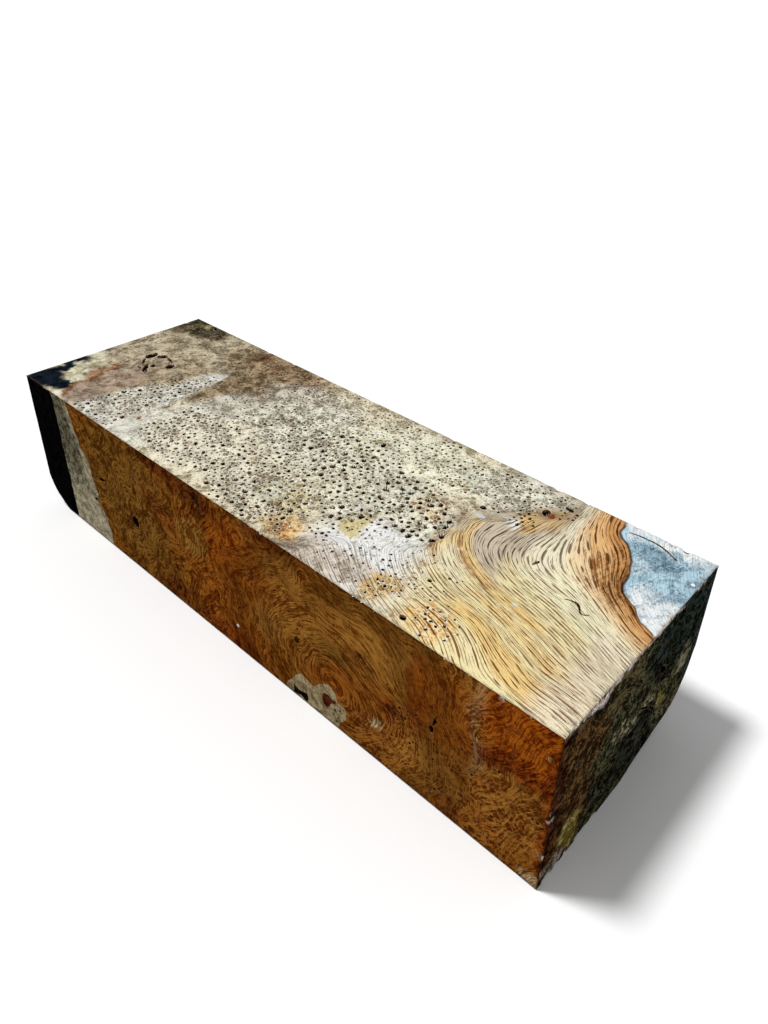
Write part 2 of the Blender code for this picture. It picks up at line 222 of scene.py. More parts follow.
# Soft patches of tone, laid on in order: (tone, a, b, half a, half b, turn in degrees, strength)
PATCHES = {
    "top": (
        ("cream", 65, 21, 300, 300, 0, 1), ("tan", 10, 10, 26, 20, 0, 1), ("tan", 14, 26, 16, 14, 0, 1),
        ("brown", 20, 23, 8, 9, 0, 0.5), ("tan", 17.6, 6.2, 4.6, 2.6, 0, 0.6),
        ("olive", 3.4, 2.4, 8, 4.2, 12, 1), ("olive", 10.6, 2.2, 3.2, 3.4, 20, 0.9),
        ("butter", 6.6, 1.8, 1.5, 1.2, 30, 0.6), ("brown", 37, 6, 17, 7.5, 4, 1),
        ("brown", 35, 17, 7.5, 9.5, 12, 1), ("red_brown", 38, 4, 9, 3.4, 4, 0.5),
        ("red_brown", 28, 3, 1.7, 4.5, 4, 1), ("mauve", 16, 33, 6.5, 10, -6, 0.9),
        ("mauve", 14, 37, 3.6, 5, -6, 0.8), ("brown", 20.4, 28, 1.8, 9, 22, 0.7),
        ("butter", 2.6, 28.4, 4.2, 3, 40, 0.6), ("butter", 6, 35, 3.4, 3.6, 20, 1),
        ("butter", 5.8, 37, 2.2, 1.8, 30, 1), ("butter", 12, 41.6, 2.6, 1.2, 0, 0.9),
        ("charcoal", 0.8, 31.6, 2.2, 2.8, 30, 1), ("charcoal", 2.2, 35, 1.6, 3.6, 10, 1),
        ("charcoal", 3.2, 40.2, 4.8, 3.8, 0, 1), ("charcoal", 9, 39.4, 2, 2.6, 20, 1),
        ("charcoal", 6.4, 40.6, 3.4, 1.8, 0, 1), ("charcoal", 0.6, 23.8, 0.9, 1.2, 0, 0.6),
        ("butter", 8.6, 36.6, 1, 0.9, 40, 0.9), ("butter", 2.2, 31.4, 1.3, 0.7, 30, 0.8),
        ("butter", 4.2, 33, 1.4, 0.9, 30, 1), ("charcoal", 7.6, 33.4, 0.7, 0.6, 0, 0.7),
        ("charcoal", 5.4, 35.2, 0.7, 0.4, 30, 0.7), ("red_brown", 9.2, 29.6, 1.3, 4.6, 8, 1),
        ("rust", 9, 26.6, 0.8, 1.4, 0, 0.7), ("rust", 10.4, 34.6, 0.8, 3.8, 4, 0.9),
        # Among the patches below, the near-white ones are painted glare: the top's sheen put into its colour
        ("red_brown", 12.4, 39.4, 1, 3, -50, 1), ("glare_haze", 41, 20, 6, 6, 20, 0.7),
        ("glare_haze", 39, 28, 6, 5, 0, 0.9), ("glare_white", 33, 35, 3.2, 5, 0, 0.6),
        ("glare_haze", 34, 40, 7, 2.8, 0, 0.8), ("pore_brown", 46, 33, 11, 9, 0, 0.85),
        ("pore_grey", 62, 18, 17, 9, 0, 0.8), ("pore_brown", 66, 36, 10, 6, 12, 0.75),
        ("glare_white", 50, 9, 12, 5, -6, 0.5), ("cream_yellow", 80, 9, 16, 7, -5, 0.9),
        ("cream_yellow", 76, 24, 9, 4, 30, 0.6), ("cream_yellow", 68, 33, 3, 5, 20, 0.6),
        ("pore_grey", 86, 22, 11, 6, 25, 0.8), ("ochre", 89.5, 19, 3.5, 2.2, 40, 0.55),
        ("glare_haze", 98, 6, 9, 6, 0, 0.6), ("white", 93, 34, 13, 8, -8, 0.95), ("white", 86, 31, 9, 3, 25, 0.8),
        ("pink_grey", 86, 39.4, 9, 3.4, -8, 0.9), ("ochre", 76, 38.6, 3.6, 3.4, 0, 0.9),
        ("honey", 78, 39.8, 2, 1.6, 30, 0.8), ("honey", 74.6, 36.6, 1.2, 2, 0, 0.5),
        ("olive_gold", 72.5, 33.5, 3.6, 2.6, 50, 0.8), ("olive_gold", 83.6, 30.4, 1.9, 3, -20, 0.9),
        ("gold", 112, 33, 16, 13, 25, 0.95), ("cream_gold", 113, 22.5, 8, 3.4, 28, 0.85),
        ("honey", 96.6, 24, 2, 3.6, -24, 0.7),
    ),
    "front": (
        ("front_brown", 60, 15, 300, 300, 0, 1), ("front_tan", 105, 14, 30, 16, 0, 0.35),
        ("front_orange", 108, 22, 22, 8, 0, 0.3), ("front_orange", 66, 16, 12, 14, 20, 0.35),
        ("front_olive", 33, 12, 16, 14, 0, 0.9), ("front_olive", 40, 26, 12, 7, 0, 0.6),
        ("front_dark", 50, 1, 14, 2.6, 8, 0.9), ("front_dark", 58, 3, 4, 4, 40, 0.7),
        ("front_dark", 77, 1.2, 7, 2.4, 6, 0.9), ("front_red", 45, 11, 6, 3, 30, 0.5),
        ("front_tan", 55.5, 11.7, 4.8, 4.2, 0, 0.9), ("front_dark", 48, 28, 5, 3.2, -10, 0.9),
        ("front_red", 64, 29, 10, 3, 0, 0.7), ("front_orange", 64, 8, 4, 7, 35, 0.6),
        ("front_light", 80, 6, 5, 4, -30, 0.6), ("front_tan", 75, 18, 4, 5, 30, 0.6),
        ("front_light", 82, 13, 12, 4, -20, 0.4), ("front_orange", 91.3, 19.4, 3.2, 2.4, 0, 0.25),
        ("front_red", 86.5, 21.8, 3, 1.8, -20, 0.5), ("front_olive", 91, 14.8, 4, 1.8, 0, 0.8),
        ("front_light", 99, 6, 8, 4, 8, 0.6), ("front_light", 104.4, 11.6, 1.4, 2.4, 20, 0.9),
        ("front_pale", 100, 22.2, 0.7, 1.8, 30, 0.6), ("front_red", 102.6, 17, 1.8, 1.6, 0, 0.8),
        ("front_red", 107.4, 10, 1.8, 8, -4, 0.6), ("front_orange", 112, 9, 6, 7, 0, 0.6),
        ("front_orange", 124.5, 5, 6.5, 6.5, 0, 1), ("front_red", 123, 11.4, 7, 2.2, -10, 0.9),
        ("front_pale", 118, 8, 0.9, 9.5, 4, 0.22), ("front_light", 110, 25, 7, 6, 0, 0.5),
        ("front_light", 124, 21, 5, 5, 0, 0.4), ("front_red", 114, 28, 3, 3, 0, 0.5),
        ("front_red", 129.6, 14, 0.8, 16, 0, 0.8), ("front_pale", 128.6, 29.6, 1.6, 1.6, 0, 0.7),
    ),
    "end": (
        ("end_olive", 20, 15, 200, 200, 0, 1), ("end_brown", 5, 9, 7.5, 8, -30, 0.9),
        ("end_brown", 5, 21, 6, 9, 0, 1), ("end_red", 0.6, 15, 1.2, 18, 0, 0.95),
        ("end_brown", 14, 4, 6, 4, 0, 0.3), ("teal", 33, 6, 11, 8, 0, 0.95), ("teal", 40, 13, 4, 9, 0, 0.9),
        ("end_black", 29, 11.6, 3.4, 2.6, 30, 0.95), ("end_black", 24, 22, 8, 5.4, 35, 0.9),
        ("end_black", 14, 23, 6, 3.4, 40, 0.6), ("end_pale", 18.6, 15, 4.6, 1.6, 30, 0.85),
        ("end_pale", 26.6, 16.4, 3.6, 1.2, 38, 0.95), ("end_yellow", 31.8, 19.6, 1.3, 2.6, -30, 0.8),
        ("end_pale", 37.4, 15.6, 2.4, 3.6, -20, 0.6), ("end_pale", 34, 24, 4, 2.4, 20, 0.3),
        ("end_yellow", 6.6, 24.8, 2.4, 4.4, -20, 1), ("end_white", 3.2, 28.6, 3, 1.8, 20, 0.85),
        ("end_chip", 9.5, 0.4, 9, 0.7, 0, 1), ("end_chip", 24, 0.3, 8, 0.5, 0, 0.8),
        ("end_brown", 11, 19, 2.4, 3, 30, 0.4),
    ),
    "back": (
        ("front_brown", 60, 15, 300, 300, 0, 1), ("bark_dark", 3, 12, 8, 20, 0, 0.95),
        ("sap_mid", 12, 14, 5, 18, 6, 0.6), ("front_dark", 44, 6, 14, 4, 10, 0.8),
        ("front_olive", 32, 18, 12, 8, 0, 0.7), ("front_orange", 66, 12, 14, 8, 20, 0.6),
        ("front_light", 84, 9, 12, 7, -15, 0.6), ("front_red", 96, 20, 9, 5, 0, 0.6),
        # The blue patch on this line carries the blue corner's painted sky reflection round onto the back
        ("front_orange", 108, 10, 8, 10, 0, 0.7), ("blue_dark", 124, 5, 9, 8, 0, 0.9),
        ("end_black", 127, 14, 5, 8, 0, 0.7), ("front_dark", 70, 24, 40, 4, 0, 0.5),
    ),
    "bark": (
        ("bark_dark", 20, 15, 200, 200, 0, 1), ("black", 3, 12, 8, 24, 0, 0.95),
        ("bark_brown", 22, 10, 9, 7, 20, 0.8), ("sap_mid", 33, 7, 7, 6, 0, 0.7),
        ("front_olive", 39, 3, 6, 5, 0, 0.8), ("black", 16, 22, 7, 5, 0, 0.6),
        ("bark_brown", 34, 20, 7, 6, 0, 0.6),
    ),
    "under": (
        ("front_brown", 60, 20, 300, 300, 0, 1), ("black", 4, 30, 7.5, 24, 0, 0.95),
        ("sap_mid", 16, 24, 6, 30, 4, 0.85), ("front_olive", 36, 22, 14, 12, 0, 0.7),
        ("front_dark", 56, 10, 16, 6, 8, 0.7), ("front_orange", 74, 28, 12, 8, 20, 0.6),
        ("inclusion", 86, 40.5, 6, 4, 0, 0.9), ("front_light", 104, 26, 12, 8, -20, 0.5),
        ("front_red", 118, 34, 8, 7, 0, 0.6), ("end_olive", 126, 12, 6, 12, 0, 0.8),
    ),
}

# The same, laid on over the fan's bands on the top
LATE_PATCHES = (
    ("honey", 107, 38.7, 4, 3, 12, 1), ("ochre", 96.8, 38.4, 2.4, 3.6, 0, 1),
    ("ochre", 103.6, 11.4, 1.9, 2.6, -10, 0.9), ("red_brown", 103.4, 12.8, 1.2, 0.8, 0, 0.7),
    # The near-white patch at the end of this line is painted glare
    ("grey", 99.4, 14, 3.4, 2.4, 10, 0.6), ("glare_haze", 101.4, 13.4, 1.8, 1.4, 0, 0.9),
    ("red_brown", 107.2, 6.5, 0.9, 5.4, 0, 0.5), ("ochre", 104.8, 7.6, 3, 3.2, 0, 0.6),
    ("red_brown", 104.6, 7, 1.7, 1.4, 0, 0.8), ("rust", 94.4, 18.2, 2.2, 2, 0, 0.4),
    ("charcoal", 129.6, 1, 1.6, 1.4, 0, 0.5),
)

# Crisp borders inside a face: (name, closed outline, tone inside, tone of the thin line)
OUTLINES = {
    "top": (
        (
            # Pale sapwood whose blue tint is a painted reflection of the sky
            "blue_corner",
            (
                (114.6, -5), (114.6, 0), (115.5, 3.7), (117.4, 5.1), (119.6, 7.9), (120.8, 10.7),
                (121.6, 13.6), (122.7, 15.4), (125, 16.7), (127, 18.9), (128.7, 19.9), (130, 20.5), (136, 23),
                (136, -5),
            ),
            "blue", "soot",
        ),
        (
            "pale_wedge",
            (
                (27.6, 12.2), (29.1, 12.9), (30, 16.8), (30.5, 21), (30.5, 27), (30.6, 34.5), (30.8, 47),
                (13, 47), (15.5, 39.5), (17.4, 33), (20.4, 26.4), (23.4, 20.4), (25.4, 15.6),
            ),
            None, None,
        ),
    ),
    "front": (
        (
            "sapwood",
            (
                (5, -5), (15.8, -5), (16, 0), (16.6, 3), (17.3, 6.2), (18.2, 7.6), (18.5, 9.6), (20.2, 11.4),
                (20.9, 13.4), (21.1, 15.2), (21.8, 17.4), (22, 19.4), (21.8, 20.7), (22.2, 21.7),
                (22.8, 22.8), (24.4, 24), (24, 25.2), (25, 27.2), (24.8, 31), (25.2, 36), (5, 36),
            ),
            "sap_mid", "front_dark",
        ),
        (
            "black_bark",
            (
                (-5, -5), (10.2, -5), (10.2, 0), (10.4, 8), (10.5, 16), (10.8, 24), (10.6, 31), (10.6, 36),
                (-5, 36),
            ),
            "black", None,
        ),
        (
            "inclusion",
            (
                (78.6, 36), (78.9, 30.3), (80.6, 27.7), (82.3, 25.1), (83.2, 24.6), (85.8, 25.1),
                (87.5, 23.6), (89.3, 22.3), (91, 23), (91.6, 24.5), (93.2, 24.7), (93.5, 26), (92.7, 28.2),
                (91.9, 30.3), (91.8, 36),
            ),
            "inclusion", None,
        ),
        (
            "brown_comma",
            (
                (91.2, 24.6), (91, 25.6), (90.2, 26), (89.4, 27.4), (88.4, 27.6), (87.9, 26.4), (88.3, 25),
                (89.4, 24.6), (90.2, 24.9),
            ),
            "comma", None,
        ),
        (
            "black_bow", ((81, 28.5), (82.4, 29), (84.3, 28.3), (84.2, 30.5), (82.6, 29.8), (81, 30.6)),
            "black", None,
        ),
    ),
    "under": (
        ("black_bark", ((-5, -5), (11.4, -5), (11, 10), (11.3, 26), (11.1, 48), (-5, 48)), "black", None),
    ),
}

# Patches laid on inside one outline only, after it is filled
INSIDE_PATCHES = {
    # The blue patches inside the blue corner carry the same painted sky reflection
    "blue_corner": (
        ("pale_blue", 127.6, 16.6, 5.2, 4.6, 30, 1), ("pale_blue", 123, 0.2, 9, 1.9, 4, 1),
        ("pale_blue", 117.6, 1.6, 1.8, 3, 0, 0.7), ("blue_dark", 122.6, 5.2, 3.8, 2.4, 30, 0.6),
        ("blue_dark", 129.6, 5.8, 0.9, 1.5, 0, 0.9), ("pale_blue", 121.6, 9.2, 1.6, 2.4, -20, 0.5),
    ),
    "pale_wedge": (
        # The near-white patches in the pale wedge are painted glare: the top's sheen put into its colour
        ("glare_white", 28, 19.5, 2.5, 7.4, 12, 1), ("glare_white", 26.9, 31, 6.2, 8.6, 20, 1),
        ("glare_white", 25, 39.6, 7.4, 6, 0, 1), ("pore_brown", 24.6, 35, 4.6, 3.4, 0, 0.5),
        ("pore_brown", 28.6, 38, 2.6, 3.4, 0, 0.6),
    ),
    "sapwood": (
        ("sap_top", 13.2, 8, 6, 9, 0, 0.95), ("sap_low", 18, 3, 2.6, 12, -14, 0.6),
        ("sap_low", 16, 27, 10, 6.5, 0, 0.95), ("sap_low", 20, 15.6, 1.6, 4.4, -20, 0.9),
    ),
}

# Bands of tone in the fan, by height across its grain in mm: (tone, from, to, from a, to a, strength)
FAN_BANDS = (
    ("grey", 7.6, 14.4, 94, 108, 0.95), ("cream", 3, 7.2, 106, 113.5, 0.85),
    ("cream_gold", 3, 9.4, 113, 140, 0.95), ("gold", 9.4, 15.4, 107, 140, 0.8),
    ("honey", 14.4, 16.6, 96, 118, 0.75), ("rust", 16.1, 16.8, 97, 109, 0.95),
    ("cream", 17.4, 20.4, 97, 105, 0.6), ("gold", 17, 40, 105, 140, 0.95),
    ("honey", 17.6, 19.4, 107, 132, 0.6), ("honey", 21.4, 24.6, 106, 126, 0.85),
    ("rose", 5, 40, 124, 140, 0.7), ("strip_pale", 2.2, 4.2, 105, 140, 0.7), ("orange", -3, 2.9, 105, 140, 1),
    ("strip_dark", -3, 1.3, 105, 140, 0.8),
)
FAN_BAND_EDGE = 0.35

# The run of the grain in the fan: height across the grain in mm, and places along that line
FAN_LINES = (
    (
        0,
        (
            (114.6, 0), (115.5, 3.7), (117.4, 5.1), (119.6, 7.9), (120.8, 10.7), (121.6, 13.6), (122.7, 15.4),
            (125, 16.7), (127, 18.9), (130, 20.5),
        ),
    ),
    (3, ((109.5, 0), (111.2, 6), (114, 11), (117.5, 15.5), (122, 19.4), (130, 23.4))),
    (5, ((108.3, 0), (108.8, 6), (109.8, 11), (111.2, 15), (113.4, 17.8), (119, 20.2), (130, 25.4))),
    (
        8,
        (
            (107.3, 0), (107.4, 6), (107.1, 11), (106.4, 14.5), (106.8, 18), (109, 20.8), (113.4, 22.3),
            (122, 25), (130, 28.2),
        ),
    ),
    (
        10,
        (
            (105.4, 8), (104.8, 11), (104.4, 14.5), (104.5, 18), (106, 20.9), (109.5, 23), (113.4, 24.2),
            (122, 26.6), (130, 29.8),
        ),
    ),
    (
        12,
        (
            (102.5, 13), (102.3, 15.8), (102.1, 19.2), (103.8, 22), (107.8, 24.2), (113.4, 25.8), (122, 28.2),
            (130, 31.2),
        ),
    ),
    (
        14,
        (
            (98.6, 13), (98.5, 15.5), (98.8, 19), (100.5, 22.2), (104, 24.8), (108.3, 26.4), (114, 27.6),
            (122, 30), (130, 32.4),
        ),
    ),
    (
        17,
        (
            (94.6, 13), (95, 16), (96.2, 20.3), (99.3, 24), (103.8, 26.8), (108.3, 28.6), (113.4, 30),
            (119, 31.4), (124.7, 33.2), (130, 34.3),
        ),
    ),
    (
        20,
        (
            (93.6, 20), (95, 23.5), (97, 26.2), (100.7, 29), (105, 31), (110.6, 32.2), (116.2, 34.1),
            (121.9, 36), (130, 37),
        ),
    ),
    (
        23,
        (
            (92.4, 25), (95.4, 28.8), (100, 31.8), (105, 33.4), (110.6, 34.1), (114.8, 36), (119, 37.8),
            (124.7, 39.4), (130, 40.1),
        ),
    ),
    (
        26,
        (
            (91, 28.6), (95, 32.6), (99, 34.8), (105, 36), (108.3, 36.6), (112, 38.2), (114.8, 40.5),
            (116.3, 42),
        ),
    ),
    (29, ((88, 31), (92, 34.8), (97, 37.8), (103, 39.4), (107, 40.8), (109, 42))),
    (33, ((84, 35), (89, 38), (95, 41.2), (97, 42))),
)
FAN_SOFTNESS = 4.0
# Where the fan's tones begin on the top, and where its grain does: places along b, and the a there
FAN_START = ((0, 6, 12, 16, 24, 30, 36, 42), (106.6, 105, 99, 95.5, 96, 98, 101, 103))
FAN_GRAIN_START = ((0, 6, 12, 16, 24, 30, 36, 42), (106.6, 105, 99, 95.5, 95, 92, 83, 79))

# The burl's cells: (a, b, half a, half b, turn, strength of the cells, of the fine pores, lift to light)
CELLS = {
    "top": (
        (66, 22, 36, 23, 0, 0.45, 0.12, -0.05), (12, 14, 22, 18, 0, 0.1, 0.05, -0.04),
        (4, 3, 9, 5, 10, 0.1, 0.05, -0.3), (37, 6, 17, 8, 4, 0.1, 0.05, -0.1),
        (35, 17, 7, 10, 12, 0.1, 0.05, -0.16), (14, 33, 6, 10, 0, 0, 0, -0.02),
        (25, 31, 6, 14, 12, 0.4, 0.2, -0.12), (54, 9, 10, 8, 0, 0.5, 0.1, -0.1),
        (46, 34, 15, 9, 0, 0.45, 0.2, 0.06), (79, 9, 15, 7, -5, 0.5, 0.2, 0.05),
        (99, 6, 8, 6, 0, 0.5, 0.3, -0.08), (40, 25, 6, 7, 0, 0.2, 0.1, 0.02),
        # The lift to light at (92, 34.5) lies under the white patch there and adds to its painted glare
        (92, 34.5, 13, 8.4, -8, 0.1, 0.6, 0.24), (86, 40.5, 9, 3, -8, 0, 0.2, 0),
        (107, 38.7, 4, 3.1, 12, 0.8, 0.3, 0.1), (96.8, 38.4, 2.3, 3.5, 0, 0.8, 0.3, 0.1),
        (124, 9, 9, 12, 20, 0, 0.4, 0.04),
    ),
    "front": (
        (58, 16, 40, 17, 0, 0.2, 0.1, 0), (93, 14, 15, 13, 0, 0.1, 0.05, 0.04),
        (117, 21, 14, 11, 0, 0.5, 0.2, 0.02), (116, 8, 16, 9, 0, 0.2, 0.1, 0.08),
        (100, 27, 8, 5, 0, 0.5, 0.2, 0), (118, 8, 0.9, 9.6, 4, 0.3, 0.9, 0.26),
    ),
    "end": ((20, 15, 24, 18, 0, 0.3, 0.25, -0.04),), "back": ((70, 15, 60, 16, 0, 0.4, 0.2, 0),),
    "under": ((70, 20, 60, 22, 0, 0.4, 0.2, 0),), "bark": ((22, 14, 22, 16, 0, 0.3, 0.2, 0),),
}
FAN_CELLS = (0.0, 0.0, 0.34)

# Boxes on a face with points closer together, for ragged tones: (from a, from b, to a, to b, step)
FINE_PLACES = {
    "top": ((0.6, 26.5, 14.5, 41.9, 0.4), (0.6, 0.6, 12.5, 6.5, 0.45), (13.5, 33, 17, 41.9, 0.5)),
    "front": ((10.8, 1, 24.5, 29.8, 0.55),), "end": ((12, 9, 34, 26, 0.5), (0.6, 0.5, 32, 1.7, 0.36)),
}

# Dark and pale flecks that lie flat: (a, b, length, width, turn, tone)
FLECKS = {
    "front": (
        (90.9, 26.9, 0.45, 0.35, 0, "soot"), (92.1, 26.2, 0.4, 0.4, 30, "soot"),
        (90.6, 28.2, 0.45, 0.3, 60, "soot"), (91.7, 28, 0.4, 0.3, 0, "soot"),
        (91.2, 29.3, 0.35, 0.3, 60, "soot"), (85.4, 27.4, 0.4, 0.25, 20, "olive"),
        (58.2, 2.6, 2.1, 0.9, 52, "soot"), (82.4, 17.3, 0.9, 1.4, 10, "soot"),
        (102.9, 17, 2, 1.4, 10, "comma"), (71.5, 11.2, 2.4, 0.8, -50, "front_dark"),
        (99.8, 22.6, 2.8, 0.8, -56, "front_pale"), (100.6, 21.8, 0.9, 0.6, -56, "sap_low"),
        (66.5, 25.1, 0.8, 0.6, -30, "chip_white"), (96.4, 10.8, 1.8, 0.4, 15, "soot"),
        (128.5, 4.9, 0.4, 1, 0, "front_pale"), (116.2, 23.6, 0.9, 0.7, 0, "comma"),
    ),
    "top": (
        # The two pale blue flecks are painted glints of the sky's reflection
        (104.9, 7.3, 1.5, 1.1, 20, "knot"), (112.5, 28.2, 0.8, 0.5, 10, "pale_blue"),
        (96.9, 15.2, 1.3, 1, 10, "pale_blue"), (31.4, 35.8, 1.5, 0.9, 40, "red_brown"),
        (31.2, 29.8, 1.1, 3.6, 0, "rust_dark"), (28, 3.6, 1.2, 3.6, 8, "rust_dark"),
        (129, 6.9, 0.6, 0.5, 0, "chip_white"),
    ),
}

# Longer openings, the same as in the solid and some finer: (a, b, length, width, turn, depth)
OPENINGS = {
    "top": (
        (9.9, 19.2, 3.2, 1.7, 78, 1.2), (11.9, 17.9, 2.4, 1.4, -42, 1), (17.2, 19.5, 2.2, 1.7, 80, 1),
        (14.6, 17.7, 3.6, 0.4, 12, 0.4), (11, 21.8, 3.4, 0.5, 42, 0.5), (14.3, 21.7, 1.6, 1, 40, 0.8),
        (14.2, 23.5, 3.8, 1.1, 44, 0.9), (15.5, 24.2, 2, 0.45, 44, 0.6), (12.9, 24.1, 1.3, 0.4, 0, 0.4),
        (71, 10.6, 1.5, 0.9, 65, 0.9), (95.7, 13.1, 1.2, 0.9, 0, 0.8), (103.9, 7.1, 1.7, 1.3, 80, 1.3),
        (106.2, 3.7, 1.6, 0.8, 12, 0.8), (103.1, 40.6, 1.1, 0.9, 0, 1.1), (100.9, 32.5, 0.7, 0.5, 0, 0.6),
        (109.7, 18.6, 1.5, 0.4, -70, 0.5), (7.9, 0.9, 1.7, 0.7, 30, 0.4), (26.1, 8.2, 0.5, 1.4, 0, 0.5),
        (30.4, 16.7, 0.6, 2.1, -8, 0.9),
    ),
    "front": (
        (25.1, 14.1, 2.4, 0.7, -18, 0.8), (20.9, 20.8, 1.3, 0.7, -20, 0.8), (35.8, 18.7, 2.2, 2.6, 30, 1.2),
        (110.4, 14.9, 1.4, 0.8, 84, 0.9), (110.9, 12.9, 2.2, 0.35, -76, 0.6),
    ),
    "end": (
        (29, 11.5, 3.4, 1.1, 40, 0.9), (27.6, 17.6, 2.6, 0.8, 44, 0.8), (31, 24.2, 3, 1, 50, 0.8),
        (17.5, 20.8, 2.4, 0.8, 35, 0.7), (36.5, 18.6, 2, 0.8, 20, 0.7),
    ),
}

# Drying cracks: (width, depth, places along it)
CRACKS = {
    "top": (
        (0.4, 0.8, ((30.6, 18.6), (30.6, 24), (30.9, 28.5), (30.8, 33.6))),
        (0.22, 0.4, ((116.4, 2.2), (119.2, 1.9), (121.4, 2), (124.2, 3.2))),
        (0.24, 0.4, ((117.2, 22.2), (118.8, 21.8), (120.2, 23.2), (121.2, 22.8))),
    ),
    "end": ((0.34, 0.7, ((22.4, 14.6), (26.6, 17.4), (29.6, 20.8), (31, 24.4))),),
}
CRACK_STEP = 0.42
CRACK_MARGIN = 0.18
RING_STEP = 0.36
SMALL_OUTLINE = 6.0

# Burl eyes, in stands: (a, b, half a, half b, turn, share filled, smallest and largest radius)
EYE_STANDS = {
    "top": (
        (64, 21, 30, 20, 0, 0.14, 0.17, 0.3), (20, 12, 20, 11, 0, 0.05, 0.17, 0.22),
        (50, 7, 18, 6, 0, 0.12, 0.17, 0.28), (78, 7, 20, 6, 0, 0.36, 0.18, 0.36),
        (99, 5, 8, 5, 0, 0.55, 0.18, 0.38), (38, 15, 6, 9, 0, 0.1, 0.17, 0.24),
        (46, 33, 11, 8.2, 0, 1, 0.2, 0.5), (65, 34, 12, 7.4, 0, 1, 0.2, 0.56),
        (59, 22, 11, 8, 0, 0.6, 0.18, 0.46), (72, 19, 12, 7.4, 10, 1, 0.26, 0.66),
        (87, 21.5, 10, 6.8, 25, 1, 0.32, 0.72), (79, 27, 7, 5, 20, 1, 0.28, 0.64),
        (93, 34, 12, 7, -8, 0.04, 0.17, 0.24), (81.5, 34.5, 1.6, 2.2, 0, 0.8, 0.22, 0.4),
        (107, 38.6, 3.6, 3, 10, 0.1, 0.2, 0.3), (96.8, 38, 2, 3.2, 0, 0.2, 0.2, 0.3),
        (100, 11, 4, 2.6, 0, 0.7, 0.2, 0.42),
    ),
    "front": ((60, 17, 44, 14, 0, 0.06, 0.17, 0.24), (116, 21, 13, 9, 0, 0.3, 0.17, 0.28)),
    "end": ((20, 14, 18, 11, 0, 0.3, 0.18, 0.34),),
}
WEDGE_EYES = (1.0, 0.22, 0.56)
WEDGE_MARGIN = 2.4
EYE_TRIES = {"top": 60000, "front": 3600, "end": 900}
RIM_WIDTH = 0.15
SMALL_EYE = 0.22
EYE_DEPTH = 1.5
OPEN_EYES = 0.84

# Chips out of the sawn edges: (from, to, count, largest size, depth) in mm of the block
CHIPS = (
    ((65, -20.4, 30.8), (65, 20, 30.8), 16, 0.6, 0.28), ((65, -21.2, 18.6), (65, -21.2, 2.4), 4, 0.5, 0.2),
    ((65, -20.6, 0), (65, -6, 0), 8, 1.3, 0.7), ((-63, -21.2, 30.8), (63, -21.2, 30.8), 16, 0.4, 0.14),
    ((36, 21.2, 30.8), (64, 21.2, 30.8), 9, 0.8, 0.35), ((-64, 21.2, 30.8), (36, 21.2, 30.8), 14, 0.5, 0.2),
    ((-65, -20, 30.8), (-65, 20, 30.8), 9, 0.5, 0.2),
)

# The faces of the block


def block_tree():
    """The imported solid, in mm, for seating the natural edges on it."""
    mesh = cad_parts[NODE].data
    places = [vert.co / MM for vert in mesh.vertices]
    return BVHTree.FromPolygons(places, [tuple(face.vertices) for face in mesh.polygons])


SOLID = block_tree()


def seat(place):
    """Where a point of the whole sawn box lies once the natural edges are gone."""
    x, y, z = place
    if z >= SEAT_Z or (x >= SEAT_X and y <= SEAT_Y):
        return np.array(place)
    inner = Vector((min(x, HIGH[0] - SEAT_NUDGE[0]), max(y, LOW[1] + SEAT_NUDGE[1]), z))
    anchor = Vector((max(inner.x, SEAT_X), min(inner.y, SEAT_Y), SEAT_Z))
    hit = SOLID.ray_cast(anchor, (inner - anchor).normalized())[0]
    if hit is None or (hit - anchor).length > (inner - anchor).length:
        return np.array(place)
    return np.array(place) + np.array(hit - inner)


class SawnFace:
    """One face of the block: its points, with what is cut and stained at each of them."""

    def __init__(self, name):
        self.name = name
        self.corner, self.across, self.down, self.out = (np.array(part, float) for part in FACES[name])
        self.span = (float(abs(self.across) @ SIDES), float(abs(self.down) @ SIDES))
        self.box_rim = self.rim_of_box()
        self.seated_rim = np.array([seat(place) for place in self.box_rim])
        self.flat = name in FLAT_FACES
        self.outline = self.to_face(self.seated_rim if self.flat else self.box_rim)
        self.rim_count = len(self.outline)
        self.borders = {}
        self.places, self.eye, self.sink, self.stain = [], [], [], []
        self.add(self.outline)

    def rim_of_box(self):
        """The stations round the face's edge, in mm of the block."""
        far_a, far_b = self.span
        a = np.linspace(0, far_a, round(far_a / EDGE_STEP) + 1)
        b = np.linspace(0, far_b, round(far_b / EDGE_STEP) + 1)
        ring = [(x, 0.0) for x in a[:-1]] + [(far_a, y) for y in b[:-1]]
        ring += [(x, far_b) for x in a[:0:-1]] + [(0.0, y) for y in b[:0:-1]]
        return self.to_block(np.array(ring))

    def to_block(self, places):
        """Places on the face as points of the block."""
        return self.corner + places[:, :1] * self.across + places[:, 1:] * self.down

    def to_face(self, points):
        """Points of the block as places on the face."""
        return np.stack([(points - self.corner) @ self.across, (points - self.corner) @ self.down], axis=1)

    def add(self, places, eye=0.0, sink=0.0, stain=-1):
        """Adds points: how far into an eye they lie, how deep, and the number of their stain."""
        for a, b in places:
            self.places.append((float(a), float(b)))
            self.eye.append(eye)
            self.sink.append(sink)
            self.stain.append(stain)

    def room_for(self, places, margin):
        """Which places lie inside the face by a margin."""
        return depth_inside(np.asarray(places, float), self.outline) > margin


